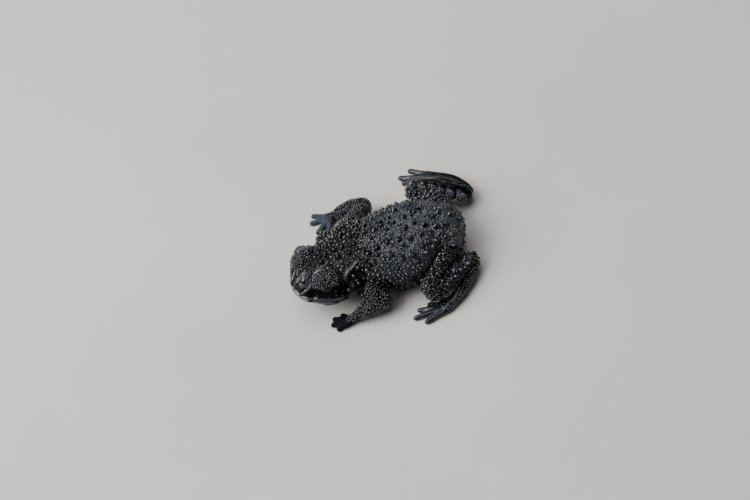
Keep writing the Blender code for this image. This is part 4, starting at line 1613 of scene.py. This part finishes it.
def skin_material(name, cell, wrinkle, depth, pale, tips, rough, shine):
    """Wet black skin, with cells and bump depth in mm, two colours, a range of roughness and a shine."""
    made, tree, shader = new_material(name)
    place = place_in_mm(tree)
    bare = stored(tree, "bare")
    grain = grouped(tree, GRAIN, {"Place": place, "Cell": cell, "Wrinkle": wrinkle, "Bare": bare})["Height"]
    mottle = grouped(tree, MOTTLE, {
        "Place": place, "Size": MOTTLE_SIZE, "Dark": SKIN_DARK, "Pale": pale, "Share": MOTTLE_SHARE,
    })
    # The tips are painted paler: partly their own colour, partly a painted highlight
    tipped = mixed(tree, stored(tree, "tip"), mottle["Color"], tips)
    # Painted sheen and painted light, and the rear back's own grey, mixed in by the number stored on the
    # points
    bloom_and_sheen = mixed(tree, stored(tree, "bloom_and_sheen"), tipped, BLOOM_AND_SHEEN_GREY)
    damp = ranged(tree, mottle["Mask"], 0.0, 1.0, *rough)
    bump = node(tree, "Bump", {"Height": grain, "Distance": depth * MM, "Strength": 1.0}).outputs["Normal"]
    feed(tree, shader, {
        # The base colour follows the grain's height, so cell edges and wrinkles are darker: painted shade in
        # the creases
        "Base Color": mixed(tree, grain, SKIN_DARK, bloom_and_sheen),
        "Roughness": blended(tree, bare, damp, BARE_ROUGH),
        "Coat Weight": stored(tree, "wet"),
        "Coat Roughness": WATER_ROUGH,
        "Normal": bump,
        "IOR": SKIN_IOR,
        "Specular IOR Level": shine,
    })
    return made


SKIN = skin_material(
    "wet_black_skin", cell=0.16, wrinkle=0.35, depth=0.03, pale=SKIN_PALE, tips=SKIN_PALE,
    rough=(0.36, 0.5), shine=0.05)
WART = skin_material(
    "wet_wart", cell=0.12, wrinkle=0.2, depth=0.006, pale=SKIN_PALE, tips=SKIN_PALE,
    rough=(0.14, 0.22), shine=0.7)
GRANULE = skin_material(
    "wet_granule", cell=0.09, wrinkle=0.1, depth=0.004, pale=GRANULE_PALE, tips=TIP_PALE_AND_GLINT,
    rough=(0.16, 0.28), shine=0.9)
RIDGE = skin_material(
    "wet_ridge", cell=0.1, wrinkle=0.1, depth=0.004, pale=GRANULE_PALE, tips=TIP_PALE_AND_GLINT,
    rough=(0.2, 0.32), shine=0.5)
print("skins:", [finish.name for finish in (SKIN, WART, GRANULE, RIDGE)])

# %% [markdown]
# ## The eye's finish
#
# The eye is the smoothest and wettest thing on the toad. The gaze stored on its points gives the distance
# from the middle of the pupil, stretched sideways for the oval. The iris is mottled with dark bronze. Rings
# of faces with a material each would do too, but their edges would be hard and follow the mesh.

# %% Eye material
PUPIL_WIDTH = 0.62
PUPIL_HEIGHT = 0.4
PUPIL_EDGE = (0.97, 1.05)
IRIS_RADIUS = 0.86
IRIS_EDGE = (1.08, 0.9)
FLECKS = (0.42, 0.68)
EYE_BLACK = (0.003, 0.003, 0.003, 1)
IRIS_DARK = (0.006, 0.005, 0.004, 1)
IRIS_BRONZE = (0.024, 0.015, 0.008, 1)
EYE_ROUGH = 0.1
EYE_SHINE = 0.12


def oval_distance(tree, gaze, width, height):
    """How far a point is from the middle of the gaze: 1 on the edge of an oval."""
    oval = node(tree, "VectorMath", {0: gaze, 1: (1 / width, 1 / height, 0)}, operation="MULTIPLY").outputs[0]
    return node(tree, "VectorMath", {0: oval}, operation="LENGTH").outputs["Value"]


def eye_material():
    """Black eye with a dark bronze iris."""
    made, tree, shader = new_material("black_eye")
    gaze = stored(tree, "gaze", "Vector")
    pupil_edge = ranged(tree, oval_distance(tree, gaze, PUPIL_WIDTH, PUPIL_HEIGHT), *PUPIL_EDGE)
    iris_edge = ranged(tree, oval_distance(tree, gaze, IRIS_RADIUS, IRIS_RADIUS), *IRIS_EDGE)
    flecks = node(tree, "TexNoise", {"Vector": gaze, "Scale": 9.0, "Detail": 4.0, "Roughness": 0.7})
    iris = mixed(tree, ranged(tree, flecks.outputs[0], *FLECKS), IRIS_DARK, IRIS_BRONZE)
    ring = node(tree, "Math", {0: pupil_edge, 1: iris_edge}, operation="MULTIPLY").outputs[0]
    feed(tree, shader, {
        "Base Color": mixed(tree, ring, EYE_BLACK, iris),
        "Roughness": EYE_ROUGH,
        "Specular IOR Level": EYE_SHINE,
    })
    return made


EYE_FINISH = eye_material()
print("eye:", EYE_FINISH.name, "with", len(EYE_FINISH.node_tree.nodes), "nodes")

# %% [markdown]
# ## Hand the pieces over
#
# Every piece is moved from the toad's millimetres into the frame's metres and told which body it rides on.
# The skin stands for all the solids of flesh, and each eyeball for its own. Smooth shading hides the faces,
# and only the sharp rims of the mouth, the sockets and the nostrils stay hard.

# %% Finish the pieces
TO_FRAME = Matrix.Scale(MM, 4) @ Matrix.Translation(-CENTRE)
SHARP = math.radians(75)
FLESH = [name for name in frame["nodes"] if not name.startswith("eye")]


def deliver(piece, finish, slot, *replaced):
    """Places and finishes a piece, hangs it on the root body and hides the solids it replaces."""
    piece.data.transform(TO_FRAME)
    piece.data.materials.clear()
    piece.data.materials.append(finish)
    piece.data.shade_smooth()
    if piece is skin:
        piece.data.set_sharp_from_angle(angle=SHARP)
    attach(piece, "root")
    if replaced:
        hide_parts(*replaced)


deliver(skin, SKIN, "skin", *FLESH)
finishes = {"warts": WART, "crests": WART, "lips": WART, "back_ridges": RIDGE}
for piece in pieces[1:]:
    deliver(piece, finishes.get(piece.name, GRANULE), "skin")
for eye, name in zip(eyes, ("eye_left", "eye_right")):
    deliver(eye, EYE_FINISH, "eye", name)
print("pieces:", len(pieces) + len(eyes), "triangles:", sum(triangles(p) for p in [*pieces, *eyes]))

# %% [markdown]
# ## Floor and light
#
# The floor is plain and pale. In the photograph the light comes from above and the left. A large soft lamp
# there puts one highlight on every granule, a weaker one above opens the shadows, and a small faint one at
# the front right gives the dark side an edge. A sun lamp would be simpler, but its highlights would be
# pin-sharp.

# %% Floor
FLOOR_SIZE = 3.0
FLOOR_COLOUR = (0.62, 0.585, 0.55, 1)
FLOOR_PALE = (0.66, 0.625, 0.59, 1)
FLOOR_CLOUDS = 40.0
FLOOR_ROUGH = 0.85
sheet = bmesh.new()
bmesh.ops.create_grid(sheet, x_segments=1, y_segments=1, size=FLOOR_SIZE / 2)
floor = mesh_object("floor", [sheet])
floor_paint, paint_tree, floor_shader = new_material("pale_floor")
cloud = grouped(paint_tree, MOTTLE, {
    "Place": place_in_mm(paint_tree), "Size": FLOOR_CLOUDS, "Dark": FLOOR_COLOUR, "Pale": FLOOR_PALE,
    "Share": 1.0,
})
feed(paint_tree, floor_shader, {"Base Color": cloud["Color"], "Roughness": FLOOR_ROUGH})
floor.data.materials.append(floor_paint)
print("floor:", FLOOR_SIZE, "m wide")

# %% Lamps
# (where, size, power, colour)
LAMPS = (
    ((-0.3, 0.01, 0.3), 0.4, 2.7, (0.93, 0.97, 1)),
    ((-0.05, 0.15, 0.4), 0.5, 1.5, (0.94, 0.97, 1)),
    ((0.3, -0.25, 0.35), 0.2, 0.08, (0.92, 0.95, 1)),
)
WORLD_COLOUR = (0.9, 0.95, 1, 1)
WORLD_STRENGTH = 0.03
for where, size, power, colour in LAMPS:
    lamp = bpy.data.lights.new("softbox", "AREA")
    lamp.shape = "DISK"
    lamp.size = size
    lamp.energy = power
    lamp.color = colour
    turn = Vector(where).to_track_quat("Z", "Y").to_matrix().to_4x4()
    in_scene("softbox", lamp).matrix_world = Matrix.Translation(where) @ turn
world = bpy.data.worlds.new("studio")
bpy.context.scene.world = world
world.use_nodes = True
background = world.node_tree.nodes["Background"]
feed(world.node_tree, background, {"Color": WORLD_COLOUR, "Strength": WORLD_STRENGTH})
print("lamps:", len(LAMPS), "with", round(sum(lamp[2] for lamp in LAMPS), 2), "W in all")
